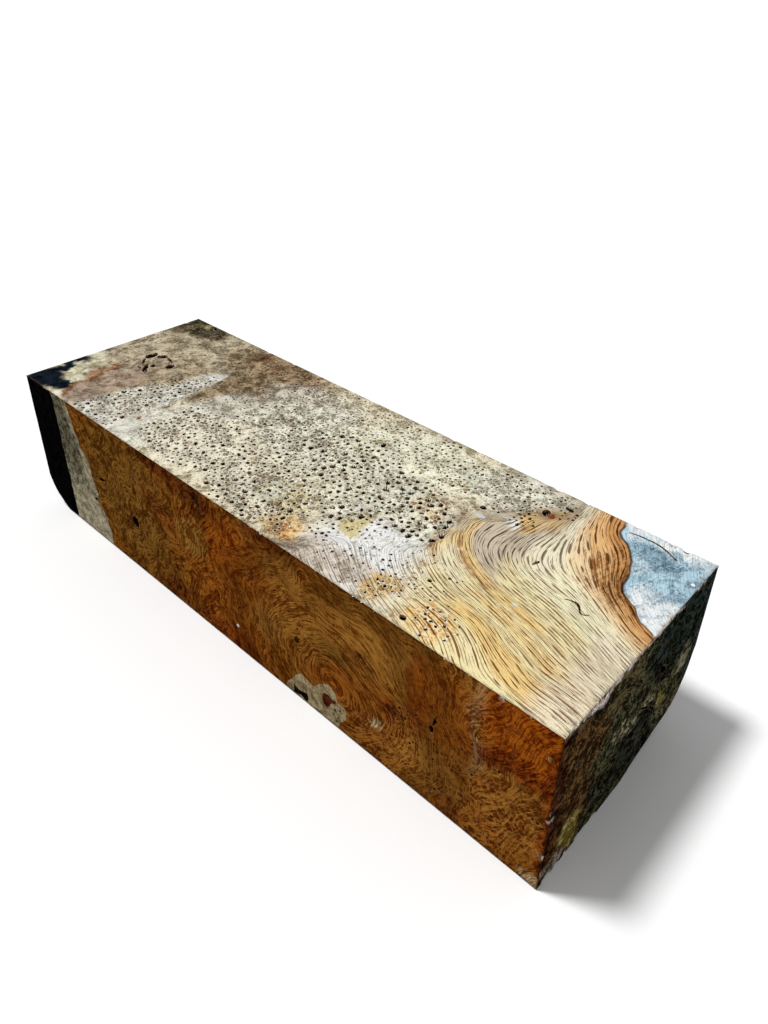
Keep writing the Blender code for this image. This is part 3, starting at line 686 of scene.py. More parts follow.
def ragged_ring(a, b, length, width, turn, fewest, seed):
    """The middle of a ragged oval, steps from it to the rim, and their lengths."""
    count = max(fewest, round(math.pi * (length + width) / 2 / RING_STEP))
    angles = np.arange(count) / count * math.tau
    rough = [1 + 0.24 * noise.noise(Vector((math.cos(t) * 1.6, math.sin(t) * 1.6, seed))) for t in angles]
    ring = np.stack([np.cos(angles) * length / 2, np.sin(angles) * width / 2], axis=1)
    ring *= np.array(rough)[:, None]
    c, s = math.cos(math.radians(turn)), math.sin(math.radians(turn))
    ring = ring @ np.array(((c, s), (-s, c)))
    return np.array((a, b)), ring, np.linalg.norm(ring, axis=1)[:, None]


def cut_opening(face, a, b, length, width, turn, depth):
    """An opening with a ragged rim and sloping walls."""
    middle, ring, reach = ragged_ring(a, b, length, width, turn, 10, a * 0.37 + b)
    face.add(middle + ring * (1 + 0.2 / reach))
    # From the rim inwards the eye values make the finish paint the walls and bottom dark: painted shade in the opening
    face.add(middle + ring, eye=0.5, sink=0.03)
    face.add(middle + ring * (1 - np.minimum(0.16 / reach, 0.4)), eye=0.8, sink=depth * 0.55)
    if width > 0.7:
        face.add(middle + ring[::2] * 0.4, eye=1.0, sink=depth)
    face.add([middle], eye=1.0, sink=depth * 1.05)


def lay_fleck(face, a, b, length, width, turn, tone):
    """A stain with a crisp rim, flat in the wood."""
    middle, ring, reach = ragged_ring(a, b, length, width, turn, 8, a * 0.61 + b)
    stain = TONE_NAMES.index(tone)
    face.add(middle + ring * (1 + 0.12 / reach))
    for share in (1.0, 0.5):
        face.add(middle + ring * share, stain=stain)
    face.add([middle], stain=stain)


def cut_crack(face, width, depth, points):
    """A crack that narrows at both ends and wanders a little."""
    line = even_line(points, CRACK_STEP)
    wander = ripples(line, 1.6, 3.1) * 0.22
    aside = sideways(line)
    line = line + aside * wander[:, None]
    share = np.linspace(0, 1, len(line))
    opening = (0.35 + 0.65 * np.sin(np.pi * share) ** 0.6) * (1 + 0.5 * ripples(line, 2.3, 8.8))
    half = (width / 2 * opening)[:, None]
    for side in (-1, 1):
        face.add(line + aside * side * (half + CRACK_MARGIN))
        face.add(line + aside * side * half, eye=0.5, sink=0.02)
    # The eye value along the middle makes the finish paint the crack near-black: painted shade in the crack
    for place, size in zip(line, opening):
        face.add([place], eye=1.0, sink=depth * size)


def lay_border(face, outline):
    """Rows of points beside a crisp border, so that its tones meet in a thin line."""
    closed = np.vstack([outline, outline[:1]])
    small = np.ptp(outline, axis=0).max() < SMALL_OUTLINE
    line = even_line(closed, 0.28 if small else 0.45)
    wander = ripples(line, 2.2, 5.5) * 0.35 + ripples(line, 0.9, 2.5) * 0.16
    line = line + sideways(line) * wander[:, None] * (0.3 if small else 1.0)
    keep = face.room_for(line, 0.45)
    aside = sideways(line)
    for offset in (-0.1, 0.1) if small else (-0.32, -0.09, 0.09, 0.32):
        face.add((line + aside * offset)[keep])
    return line


def stands_over(face, places):
    """For each place the share filled and the eye sizes of the last stand that covers it."""
    found = np.zeros((len(places), 3))
    sway = 0.25 * ripples(places, 4.0, 1.5)
    for *oval, filled, smallest, largest in EYE_STANDS[face.name]:
        found[oval_reach(places, *oval) + sway < 1] = (filled, smallest, largest)
    if face.name == "top":
        a, b = places.T
        wedge = next(np.array(outline, float) for title, outline, _, _ in OUTLINES["top"] if title == "pale_wedge")
        near = (a > 16) & (a < 31) & (b > 13)
        found[near] = 0.0
        found[near & (a < 29.8) & (b > 15) & inside_outline(places - (WEDGE_MARGIN, 0), wedge)] = WEDGE_EYES
    clumps = ripples(places, 3.4, 7.7) + 0.7 * ripples(places, 1.3, 9.7)
    crowded = found[:, 0] >= 0.9
    found[:, 0] *= np.where(crowded, ease(clumps, -0.8, -0.3), ease(clumps, -0.45, 0.15))
    return found


def lay_eyes(face, blocked):
    """Scatters burl eyes over a face, clear of each other and of what is cut already."""
    tries = EYE_TRIES[face.name]
    places = np.array([(rng.uniform(0, face.span[0]), rng.uniform(0, face.span[1])) for _ in range(tries)])
    stands = stands_over(face, places)
    picks = np.array([rng.random() for _ in range(tries)])
    places, stands = places[picks < stands[:, 0]], stands[picks < stands[:, 0]]
    roomy = face.room_for(places, 0.6)
    taken = {}
    for (a, b), (_, small, large) in zip(places[roomy], stands[roomy]):
        radius = small + (large - small) * rng.random() ** 1.6
        reach = radius + RIM_WIDTH
        column, row = int(a), int(b)
        near = [eye for i in (-1, 0, 1) for j in (-1, 0, 1) for eye in taken.get((column + i, row + j), ())]
        if any(math.hypot(a - x, b - y) < reach + other for x, y, other in near):
            continue
        gap = blocked.find(Vector((a, b, 0)))[2]
        if gap is not None and gap < reach + 0.1:
            continue
        taken.setdefault((column, row), []).append((a, b, reach))
        lay_eye(face, a, b, radius)


def lay_eye(face, a, b, radius):
    """One burl eye: a pale rim round a dark pit, a little longer than wide."""
    small = radius < SMALL_EYE
    sides = 6 if small else 8
    turn = rng.uniform(0, math.tau)
    squeeze = rng.uniform(0.5, 1.0)
    lean = rng.uniform(0, math.pi)
    middle = np.array((a, b))

    def ring(size, count, twist):
        angles = turn + twist + np.arange(count) / count * math.tau
        sway = np.array([1 + rng.uniform(-0.2, 0.2) for _ in range(count)])
        squash = np.sqrt(np.cos(angles - lean) ** 2 + (np.sin(angles - lean) * squeeze) ** 2)
        return middle + np.stack([np.cos(angles), np.sin(angles)], axis=1) * (size * squash * sway)[:, None]

    open_share = 1.0 if rng.random() < OPEN_EYES else rng.uniform(0.5, 0.8)
    depth = radius * EYE_DEPTH * open_share
    face.add(ring(radius + RIM_WIDTH, sides, math.pi / sides))
    face.add(ring(radius, sides, 0), eye=0.5 * open_share, sink=0.02)
    if not small:
        face.add(ring(radius * 0.5, 5, 0.3), eye=0.85 * open_share, sink=depth * 0.7)
    face.add([middle], eye=open_share, sink=depth)


def near_points(places):
    """A tree for finding the nearest of some places."""
    tree = kdtree.KDTree(len(places))
    for index, (a, b) in enumerate(places):
        tree.insert(Vector((a, b, 0)), index)
    tree.balance()
    return tree


def fill_grid(face):
    """Fills the rest of a face with points, a little off a regular grid."""
    for low_a, low_b, high_a, high_b, step in (
        *FINE_PLACES.get(face.name, ()), (0.0, 0.0, *face.span, GRID_STEP[face.name]),
    ):
        row_step = step * ROW_SHARE
        candidates = []
        for row in range(int((high_b - low_b) / row_step) + 1):
            for column in range(int((high_a - low_a) / step) + 1):
                a = low_a + (column + 0.5 + 0.5 * (row % 2)) * step + rng.uniform(-1, 1) * GRID_JITTER * step
                b = low_b + (row + 0.5) * row_step + rng.uniform(-1, 1) * GRID_JITTER * step
                candidates.append((a, b))
        candidates = np.array(candidates)
        candidates = candidates[face.room_for(candidates, EDGE_INSET + 0.22)]
        taken = near_points(face.places)
        clear = [taken.find(Vector((a, b, 0)))[2] > min(CLEAR_OF_RINGS, step * 0.5) for a, b in candidates]
        face.add(candidates[np.array(clear)])


def inset_row(face):
    """A row just inside the edge, so that the edge itself can wear down."""
    outline = face.outline
    along = np.roll(outline, -1, axis=0) - np.roll(outline, 1, axis=0)
    along /= np.linalg.norm(along, axis=1)[:, None]
    inward = np.stack([-along[:, 1], along[:, 0]], axis=1)
    row = outline + inward * EDGE_INSET
    row = row + along * np.array([rng.uniform(-0.1, 0.1) for _ in row])[:, None]
    face.add(row[face.room_for(row, EDGE_INSET * 0.8)])


def make_face(name):
    """A face with all that is cut into it."""
    face = SawnFace(name)
    inset_row(face)
    for title, outline, _, _ in OUTLINES.get(name, ()):
        face.borders[title] = lay_border(face, np.array(outline, float))
    for work, table in ((cut_opening, OPENINGS), (cut_crack, CRACKS), (lay_fleck, FLECKS)):
        for row in table.get(name, ()):
            work(face, *row)
    if name in EYE_TRIES:
        lay_eyes(face, near_points(face.places))
    fill_grid(face)
    face.places, face.eye, face.sink, face.stain = (
        np.array(part) for part in (face.places, face.eye, face.sink, face.stain)
    )
    return face


# Tones and the run of the grain


def in_linear(channels):
    """Screen channels from 0 to 255 as linear light."""
    share = np.array(channels, float) / 255
    return np.where(share <= 0.04045, share / 12.92, ((share + 0.055) / 1.055) ** 2.4)


def patch_cover(patch, places, warp):
    """How far a soft patch covers each place."""
    _, *oval, strength = patch
    return strength * (1 - ease(oval_reach(places + warp, *oval), 0.72, 1.22))


def past_line(places, line, sway, soft, hard):
    """Goes from 0 to 1 where a face's places pass a line across it."""
    return ease(places[:, 0] - np.interp(places[:, 1], *line) + sway, -soft, hard)


def face_tones(face, run):
    """The light and the dark tone at each point of a face."""
    places = face.places
    light = FACE_LIGHT[face.name]
    warp = np.stack([
        ripples(places, 6.0, seed) * 1.7 + ripples(places, 1.7, seed + 1) * 0.9 + ripples(places, 0.8, seed + 6) * 0.5
        for seed in (11.0, 13.0)
    ], axis=1)
    tones = np.zeros((len(places), 2, 3))

    def lay(tone, cover):
        cover = cover[:, None, None]
        tones[:] = tones * (1 - cover) + np.clip(in_linear(TONES[tone]) / light, 0.0006, 0.86) * cover

    def lay_patches(patches, within=1.0):
        for patch in patches:
            lay(patch[0], patch_cover(patch, places, warp) * within)

    lay_patches(PATCHES[face.name])
    if face.name == "top":
        a = places[:, 0] + warp[:, 0]
        height = run + warp[:, 1] * 0.16
        fan = past_line(places, FAN_START, warp[:, 0], 1.5, 1.5)
        for tone, low, high, start, end, strength in FAN_BANDS:
            cover = ease(height, low - FAN_BAND_EDGE, low + FAN_BAND_EDGE)
            cover = cover * (1 - ease(height, high - FAN_BAND_EDGE, high + FAN_BAND_EDGE))
            cover = cover * ease(a, start - 2, start + 2) * (1 - ease(a, end - 2, end + 2))
            lay(tone, cover * fan * strength)
        lay_patches(LATE_PATCHES)
    for title, _, tone, line_tone in OUTLINES.get(face.name, ()):
        border = face.borders[title]
        inside = inside_outline(places, border).astype(float)
        if tone:
            lay(tone, inside)
        if line_tone:
            lay(line_tone, 0.85 * (distance_to_line(places, border) < 0.16))
        lay_patches(INSIDE_PATCHES.get(title, ()), inside)
    for index in set(face.stain[face.stain >= 0]):
        lay(TONE_NAMES[index], (face.stain == index).astype(float))
    return tones


def face_cells(face):
    """How strongly the burl's cells, its fine pores and its light tone show at each point."""
    places = face.places
    warp = np.stack([ripples(places, 5.0, seed) * 2 for seed in (61.0, 63.0)], axis=1)
    cells = np.zeros((len(places), 3))
    fan = np.zeros((len(places), 1))
    if face.name == "top":
        fan = past_line(places, FAN_START, warp[:, 0], 2.0, 1.5)[:, None]
        cells = cells + np.array(FAN_CELLS) * fan
    for *oval, wall, pore, lift in CELLS[face.name]:
        cover = patch_cover(("", *oval, 1.0), places, warp)[:, None]
        if oval[0] < 100 and lift < 0.2:
            cover = cover * (1 - fan)
        cells = cells * (1 - cover) + np.array((wall, pore, lift)) * cover
    return cells


def fan_run(places):
    """The height across the grain in the fan, smooth through its named lines."""
    knots = np.array([place for _, line in FAN_LINES for place in line], float)
    heights = np.array([height for height, line in FAN_LINES for _ in line])

    def kernel(first, second):
        far = np.linalg.norm(first[:, None] - second[None], axis=2)
        return far**2 * np.log(far + 1e-6)

    def plane(points):
        return np.hstack([np.ones((len(points), 1)), points])

    count = len(knots)
    curves = kernel(knots, knots) + np.eye(count) * FAN_SOFTNESS
    system = np.block([[curves, plane(knots)], [plane(knots).T, np.zeros((3, 3))]])
    weights = np.linalg.solve(system, np.concatenate([heights, np.zeros(3)]))
    return kernel(places, knots) @ weights[:count] + plane(places) @ weights[count:]


def curl_run(places, pitch, height, seed):
    """Grain that curls about: contour lines of smooth noise."""
    return ripples(places, pitch, seed) * height + ripples(places, pitch * 0.43, seed + 5) * height * 0.34


def top_grain(places, blue_corner):
    """Run, line strength and mottle strength on the top."""
    a, b = places.T
    sway = ripples(places, 5.0, 4.0) * 2
    run = curl_run(places, 9.0, 6.5, 21.0) + 0.35 * b + 18.0
    into_grain, into_fan = (past_line(places, line, sway, 2.5, 2.5) for line in (FAN_GRAIN_START, FAN_START))
    run = run * (1 - into_grain) + fan_run(places) * into_grain
    lines = 0.12 + 0.3 * into_grain + 0.18 * into_fan
    mottle = 1 - 0.3 * into_grain - 0.4 * into_fan - 0.35 * (1 - ease(a, 30, 46))
    blue = inside_outline(places, blue_corner)
    lines[blue] = 0.12
    mottle[blue] = 0.75
    return np.stack([run, lines, mottle], axis=1)


SWIRL_CENTRE = np.array((90.4, 21.2))


def front_grain(places, pale_parts):
    """The grain curls round one centre on the front, wanders away from it, and fades in pale parts."""
    away = places - SWIRL_CENTRE
    reach = np.hypot(away[:, 0] * 0.92, away[:, 1] * 1.12)
    reach = reach + ripples(places, 9.0, 31.0) * 2.6 + ripples(places, 3.4, 33.0) * 0.8
    a, b = places.T
    curl = curl_run(places, 6.0, 1.0, 36.0) * (3.6 - 2.0 * ease(a, 42, 60)) + (a * 0.86 + b * 0.5) * 0.8
    far = ease(np.hypot(away[:, 0], away[:, 1]) + ripples(places, 8.0, 41.0) * 5, 16, 30)
    run = reach * (1 - far) + curl * far
    lines = 0.9 - 0.15 * far
    for border in pale_parts:
        lines[inside_outline(places, border)] = 0.2
    return np.stack([run, lines, 0.6 + 0.2 * far], axis=1)


LEAN_LINES = 0.6
LEAN_TURNS = {"end": 40, "back": 12, "bark": 70, "under": 6}


def leaning_grain(places, turn, seed):
    """Grain that mostly runs one way, with some curl."""
    c, s = math.cos(math.radians(turn)), math.sin(math.radians(turn))
    a, b = places.T
    run = (b * c - a * s) * 0.8 + curl_run(places, 6.5, 3.2, seed)
    return np.stack([run, np.full(len(a), LEAN_LINES), np.full(len(a), 1.0)], axis=1)


def face_grain(face):
    """The run of the grain on each face."""
    if face.name == "top":
        return top_grain(face.places, face.borders["blue_corner"])
    if face.name == "front":
        return front_grain(face.places, (face.borders["sapwood"], face.borders["inclusion"]))
    turn = LEAN_TURNS[face.name]
    return leaning_grain(face.places, turn, 50.0 + turn)


# Building the skin


def chip_places():
    """Seeded chips along the sawn edges: centre, size and depth."""
    chips = []
    for start, end, count, largest, depth in CHIPS:
        start, end = np.array(start), np.array(end)
        for index in range(count):
            share = min(1.0, max(0.0, (index + rng.uniform(-0.6, 1.6)) / count))
            size = largest * (0.35 + 0.65 * rng.random() ** 2)
            chips.append((start + (end - start) * share, size, depth * size / largest))
    return chips


def chip_depth(points, chips):
    """How deep the chips reach at each point, and how fresh the wood is there."""
    depth, fresh = np.zeros((2, len(points)))
    for centre, size, deepest in chips:
        near = 1 - (np.linalg.norm(points - centre, axis=1) / size) ** 2
        depth = np.maximum(depth, deepest * np.clip(near, 0, 1))
        fresh = np.maximum(fresh, ease(near, 0.0, 0.35))
    return depth, fresh


def face_triangles(face):
    """Triangles over a face, inside its outline, turned to face outwards."""
    points = [Vector((float(a), float(b))) for a, b in face.places]
    rim = [list(range(face.rim_count))]
    _, _, triangles, origins, _, _ = geometry.delaunay_2d_cdt(points, [], rim, 1, MERGE_NEARER)
    index = np.array([origin[0] if origin else -1 for origin in origins])
    triangles = index[np.array([triangle for triangle in triangles if len(triangle) == 3])]
    triangles = triangles[(triangles >= 0).all(axis=1)]
    corners = face.places[triangles]
    first, second = corners[:, 1] - corners[:, 0], corners[:, 2] - corners[:, 0]
    area = first[:, 0] * second[:, 1] - first[:, 1] * second[:, 0]
    triangles, area = triangles[abs(area) > SLIVER], area[abs(area) > SLIVER]
    wrong = area * (np.cross(face.across, face.down) @ face.out) < 0
    triangles[wrong] = triangles[wrong][:, ::-1]
    return triangles


def seated_places(face):
    """The face's points on the sawn box, where they lie on the block, and how far the two differ."""
    box_places = face.to_block(face.places)
    if face.flat:
        seated = box_places.copy()
        box_places[: face.rim_count] = face.box_rim
    else:
        seated = np.array([seat(place) for place in box_places])
    seated[: face.rim_count] = face.seated_rim
    shift = np.zeros(len(seated)) if face.flat else np.linalg.norm(seated - box_places, axis=1)
    return box_places, seated, shift


def sheet_places(face, box_places):
    """Where the face's points lie on the square sheet."""
    left, low, scale = SHEET_PLACES[face.name]
    own = face.places if face.flat else face.to_face(box_places)
    sheet = (own * scale + (left, low)) / SHEET_SIDE
    sheet[:, 1] = 1 - sheet[:, 1]
    return sheet


def build_skin():
    """Joins the faces into one closed mesh and stores what the finishes need on it."""
    chips = chip_places()
    points, sinks, triangles, finishes, shared = [], [], [], [], {}
    layers = {key: [] for key in ("tone_light", "tone_dark", "grain", "cells", "marks", "sheet")}
    for order, name in enumerate(FACES):
        face = make_face(name)
        box_places, seated, shift = seated_places(face)
        numbers = np.arange(len(seated)) + len(points)
        for index, place in enumerate(seated):
            key = tuple(np.round(box_places[index], 3)) if index < face.rim_count else None
            numbers[index] = shared.get(key, len(points))
            if key not in shared:
                points.append(place)
                sinks.append(face.sink[index] + (EDGE_SINK if key else 0.0))
                if key:
                    shared[key] = numbers[index]
        faces = face_triangles(face)
        grain = face_grain(face)
        tones = face_tones(face, grain[:, 0])
        edge = np.clip(depth_inside(face.places, face.outline), 0, 4)
        marks = np.stack([face.eye, chip_depth(seated, chips)[1], edge], axis=1)
        found = (tones[:, 0], tones[:, 1], grain, face_cells(face), marks, sheet_places(face, box_places))
        for layer, values in zip(layers.values(), found):
            layer.append(values[faces].reshape(-1, values.shape[1]))
        triangles.append(numbers[faces])
        finishes.append(np.where(shift[faces].mean(axis=1) > NATURAL_DEPTH, len(FACES), order))
    depth, _ = chip_depth(np.array(points), chips)
    triangles = np.vstack(triangles)
    mesh = bpy.data.meshes.new("burl_block_skin")
    mesh.from_pydata((np.array(points) * MM).tolist(), [], triangles.tolist())
    for name, values in layers.items():
        values = np.vstack(values)
        if name == "sheet":
            mesh.uv_layers.new(name="OFBake").data.foreach_set("uv", values.astype(np.float32).ravel())
        elif name.startswith("tone"):
            add_layer(mesh, name, "FLOAT_COLOR", "CORNER", np.hstack([values, np.ones((len(values), 1))]))
        else:
            add_layer(mesh, name, "FLOAT_VECTOR", "CORNER", values)
    add_layer(mesh, "sink", "FLOAT", "POINT", np.array(sinks) + depth)
    add_layer(mesh, "finish", "INT", "FACE", np.concatenate(finishes))
    mesh.polygons.foreach_set("use_smooth", [True] * len(mesh.polygons))
    mesh.update()
    print("skin:", len(points), "points,", len(triangles), "triangles")
    return mesh


def add_layer(mesh, name, kind, domain, values):
    """Stores one named attribute on the mesh."""
    field = {"FLOAT_VECTOR": "vector", "FLOAT_COLOR": "color"}.get(kind, "value")
    values = np.ascontiguousarray(values, dtype=np.int32 if kind == "INT" else np.float32)
    mesh.attributes.new(name, kind, domain).data.foreach_set(field, values.ravel())


# Laying out nodes


class Bench:
    """Lays out the nodes of one material, node group or tree."""

    def __init__(self, tree):
        self.tree = tree
        self.count = 0

    def node(self, kind, values=(), **settings):
        """A node with its properties set, and its inputs by name or number."""
        node = self.tree.nodes.new(kind)
        node.location = (self.count % 12 * 190, -(self.count // 12) * 260)
        self.count += 1
        for key, value in settings.items():
            setattr(node, key, value)
        self.feed(node.inputs, dict(values))
        return node

    def feed(self, sockets, values):
        """Links outputs to sockets, or sets the sockets' own values, by name or number."""
        for key, value in values.items():
            if isinstance(value, bpy.types.NodeSocket):
                self.tree.links.new(value, sockets[key])
            else:
                sockets[key].default_value = value

    def sum(self, operation, first, second=0.0, third=0.0, clamp=False):
        """One step of arithmetic."""
        values = {0: first, 1: second, 2: third}
        return self.node("ShaderNodeMath", values, operation=operation, use_clamp=clamp).outputs[0]

    def times(self, first, *others):
        """Numbers multiplied together."""
        for other in others:
            first = self.sum("MULTIPLY", first, other)
        return first

    def plus(self, value, *parts, clamp=False):
        """A number with others added, each given with its strength."""
        for part, strength in parts:
            value = self.sum("MULTIPLY_ADD", part, strength, value, clamp)
        return value

    def scaled(self, vector, size):
        """A vector times a number."""
        return self.node("ShaderNodeVectorMath", {0: vector, "Scale": size}, operation="SCALE").outputs[0]

    def in_units(self, vector, unit):
        """A vector in units of a size."""
        return self.scaled(vector, self.sum("DIVIDE", 1.0, unit))

    def ramp(self, value, low, high, start=0.0, end=1.0):
        """Softly takes a value from one range to another."""
        values = {"Value": value, "From Min": low, "From Max": high, "To Min": start, "To Max": end}
        return self.node("ShaderNodeMapRange", values, interpolation_type="SMOOTHSTEP").outputs[0]

    def noise(self, vector, scale=1.0, detail=2.0, rough=0.5, bend=0.0, run=None):
        """Smooth noise, in three dimensions or with a run of its own as the fourth."""
        values = {"Vector": vector, "Scale": scale, "Detail": detail, "Roughness": rough, "Distortion": bend}
        if run is not None:
            values["W"] = run
        dimensions = "3D" if run is None else "4D"
        return self.node("ShaderNodeTexNoise", values, noise_dimensions=dimensions).outputs[0]

    def cells(self, vector, feature):
        """The outputs of a cell pattern."""
        return self.node("ShaderNodeTexVoronoi", {"Vector": vector, "Scale": 1.0}, feature=feature).outputs

    def mixed(self, share, first, second):
        """Two colours in one."""
        return self.node("ShaderNodeMix", {0: share, 6: first, 7: second}, data_type="RGBA").outputs[2]

    def parts(self, vector):
        """The three parts of a vector, or of a named attribute of the mesh."""
        if isinstance(vector, str):
            vector = self.node("ShaderNodeAttribute", attribute_name=vector).outputs["Vector"]
        return self.node("ShaderNodeSeparateXYZ", {0: vector}).outputs

    def group(self, tree, **values):
        """The outputs of a node group with its named inputs set."""
        values = {key.replace("_", " "): value for key, value in values.items()}
        return self.node("ShaderNodeGroup", values, node_tree=tree).outputs


SOCKETS = {
    "geometry": "NodeSocketGeometry", "vector": "NodeSocketVector", float: "NodeSocketFloat", int: "NodeSocketInt",
}


def new_group(name, inputs, outputs, kind="ShaderNodeTree"):
    """A node group with named sockets, its bench, and the sockets to read from and to feed.

    An input is given by the number it starts from, or by its kind where that is no number.
    """
    tree = bpy.data.node_groups.new(name, kind)
    for title, value in inputs.items():
        sort = value if isinstance(value, str) else type(value)
        socket = tree.interface.new_socket(name=title, in_out="INPUT", socket_type=SOCKETS[sort])
        if value is not sort:
            socket.default_value = value
    for title in outputs:
        sort = SOCKETS["geometry" if title == "Geometry" else float]
        tree.interface.new_socket(name=title, in_out="OUTPUT", socket_type=sort)
    bench = Bench(tree)
    return tree, bench, bench.node("NodeGroupInput").outputs, bench.node("NodeGroupOutput").inputs


# Effects that the finishes share


def grain_lines_group():
    """Fibres along the run of the grain: broad bands, fibres, hairs and thin dark veins."""
    inputs = {"Place mm": "vector", "Run mm": 0.0, "Width mm": 0.5, "Length mm": 4.0}
    tree, bench, given, out = new_group("grain_lines", inputs, ("Band", "Fibre", "Hair", "Vein"))
    slow = bench.in_units(given["Place mm"], given["Length mm"])
    fast = bench.sum("DIVIDE", given["Run mm"], given["Width mm"])
    band = bench.noise(bench.scaled(slow, 0.35), 1.0, 1.0, 0.5, 0.0, bench.plus(3.0, (fast, 0.16)))
    fibre = bench.noise(slow, 1.0, 1.0, 0.55, 0.0, fast)
    hair = bench.noise(slow, 1.7, 1.0, 0.5, 0.0, bench.plus(11.0, (fast, 2.4)))
    veins = []
    for rows, wander, start in ((0.44, 1.5, 29.0), (0.9, 1.2, 37.0)):
        drift = bench.noise(slow, 0.5, 1.0, 0.5, 0.0, bench.plus(start, (fast, 0.14)))
        phase = bench.plus(bench.times(fast, rows), (drift, wander))
        off_line = bench.sum("ABSOLUTE", bench.sum("SUBTRACT", bench.sum("FRACT", phase), 0.5))
        thick = bench.noise(slow, 2.4, 1.0, 0.6, 0.0, bench.plus(start, (bench.sum("FLOOR", phase), 3.7)))
        inside = bench.sum("SUBTRACT", bench.ramp(thick, 0.38, 0.64, 0.0, 0.18), off_line)
        veins.append(bench.ramp(inside, 0.0, 0.07))
    bench.feed(out, {
        "Band": bench.ramp(band, 0.34, 0.66), "Fibre": bench.ramp(fibre, 0.32, 0.68),
        "Hair": bench.ramp(hair, 0.34, 0.66), "Vein": bench.sum("MAXIMUM", veins[0], bench.times(veins[1], 0.7)),
    })
    return tree


def mottle_group():
    """Clouds and grit in the wood, at two sizes, and torn specks."""
    inputs = {"Place mm": "vector", "Cloud mm": 3.0, "Grit mm": 0.45}
    tree, bench, given, out = new_group("mottle", inputs, ("Cloud", "Grit", "Speck"))
    cloud = bench.noise(bench.in_units(given["Place mm"], given["Cloud mm"]), 1.0, 3.0, 0.6, 0.6)
    fine = bench.in_units(given["Place mm"], given["Grit mm"])
    bench.feed(out, {
        "Cloud": bench.ramp(cloud, 0.3, 0.7),
        "Grit": bench.ramp(bench.noise(fine, 1.0, 2.0, 0.6, 0.8), 0.3, 0.7),
        "Speck": bench.ramp(bench.noise(fine, 0.72, 0.0), 0.66, 0.76),
    })
    return tree


def burl_eye_group():
    """The rings of a burl eye, from how far into it a place lies. Openings and cracks use them too; the pit is partly
    an eye's own dark wood and partly painted shade in the hollow.
    """
    tree, bench, given, out = new_group("burl_eye", {"Eye": 0.0, "Grit": 0.5}, ("Rim", "Ring", "Pit"))
    near = bench.times(bench.ramp(given["Eye"], 0.02, 0.25), 0.34)
    ragged = bench.plus(given["Eye"], (bench.sum("SUBTRACT", given["Grit"], 0.5), near))
    bench.feed(out, {
        "Rim": bench.times(bench.ramp(ragged, 0.03, 0.16), bench.ramp(ragged, 0.3, 0.42, 1.0, 0.0)),
        "Ring": bench.ramp(ragged, 0.32, 0.46),
        "Pit": bench.ramp(ragged, 0.5, 0.66),
    })
    return tree


def burl_cells_group():
    """Cells of the burl: pale walls between them, a tone of each cell's own, and fine open pores."""
    inputs = {"Place mm": "vector", "Cell mm": 1.2, "Pore mm": 0.8, "Sway mm": 0.9}
    tree, bench, given, out = new_group("burl_cells", inputs, ("Wall", "Tone", "Pore"))
    sway = bench.node("ShaderNodeTexNoise", {"Vector": given["Place mm"], "Scale": 1.1, "Detail": 2.0}).outputs["Color"]
    swayed = {0: bench.scaled(sway, given["Sway mm"]), 1: given["Place mm"]}
    swayed = bench.node("ShaderNodeVectorMath", swayed, operation="ADD").outputs[0]
    in_cells = bench.in_units(swayed, given["Cell mm"])
    wall = bench.cells(in_cells, "DISTANCE_TO_EDGE")["Distance"]
    pore = bench.cells(bench.in_units(swayed, given["Pore mm"]), "F1")["Distance"]
    bench.feed(out, {
        "Wall": bench.ramp(wall, 0.02, 0.15, 1.0, 0.0),
        "Tone": bench.parts(bench.cells(in_cells, "F1")["Color"])[0],
        "Pore": bench.ramp(pore, 0.17, 0.3, 1.0, 0.0),
    })
    return tree


def edge_wear_group():
    """Wear along the sawn edges and fresh wood where they chipped."""
    inputs = {"Place mm": "vector", "Edge mm": 4.0, "Chip": 0.0}
    tree, bench, given, out = new_group("edge_wear", inputs, ("Worn", "Fresh"))
    reach = bench.plus(given["Edge mm"], (bench.noise(given["Place mm"], 1.1, 3.0, 0.65), -0.9))
    frayed = bench.noise(given["Place mm"], 2.6, 2.0, 0.6)
    bench.feed(out, {
        "Worn": bench.ramp(reach, -0.35, 0.1, 1.0, 0.0),
        "Fresh": bench.times(given["Chip"], bench.ramp(frayed, 0.34, 0.52)),
    })
    return tree


def saw_marks_group():
    """Fine parallel scratches from the saw, and the broader waves of its feed."""
    inputs = {"Place mm": "vector", "Pitch mm": 0.3, "Reach mm": 30.0}
    tree, bench, given, out = new_group("saw_marks", inputs, ("Scratch", "Wave"))
    spot = bench.node("ShaderNodeCombineXYZ", {
        axis: bench.sum("DIVIDE", part, given["Reach mm" if axis else "Pitch mm"])
        for axis, part in enumerate(bench.parts(given["Place mm"]))
    }).outputs[0]
    bench.feed(out, {
        title: bench.ramp(bench.noise(bench.scaled(spot, size), 1.0, 1.0), 0.3, 0.7)
        for title, size in (("Scratch", 1.0), ("Wave", 0.16))
    })
    return tree


SHARED = {
    "lines": grain_lines_group(), "mottle": mottle_group(), "eye": burl_eye_group(),
    "cells": burl_cells_group(), "wear": edge_wear_group(), "saw": saw_marks_group(),
}

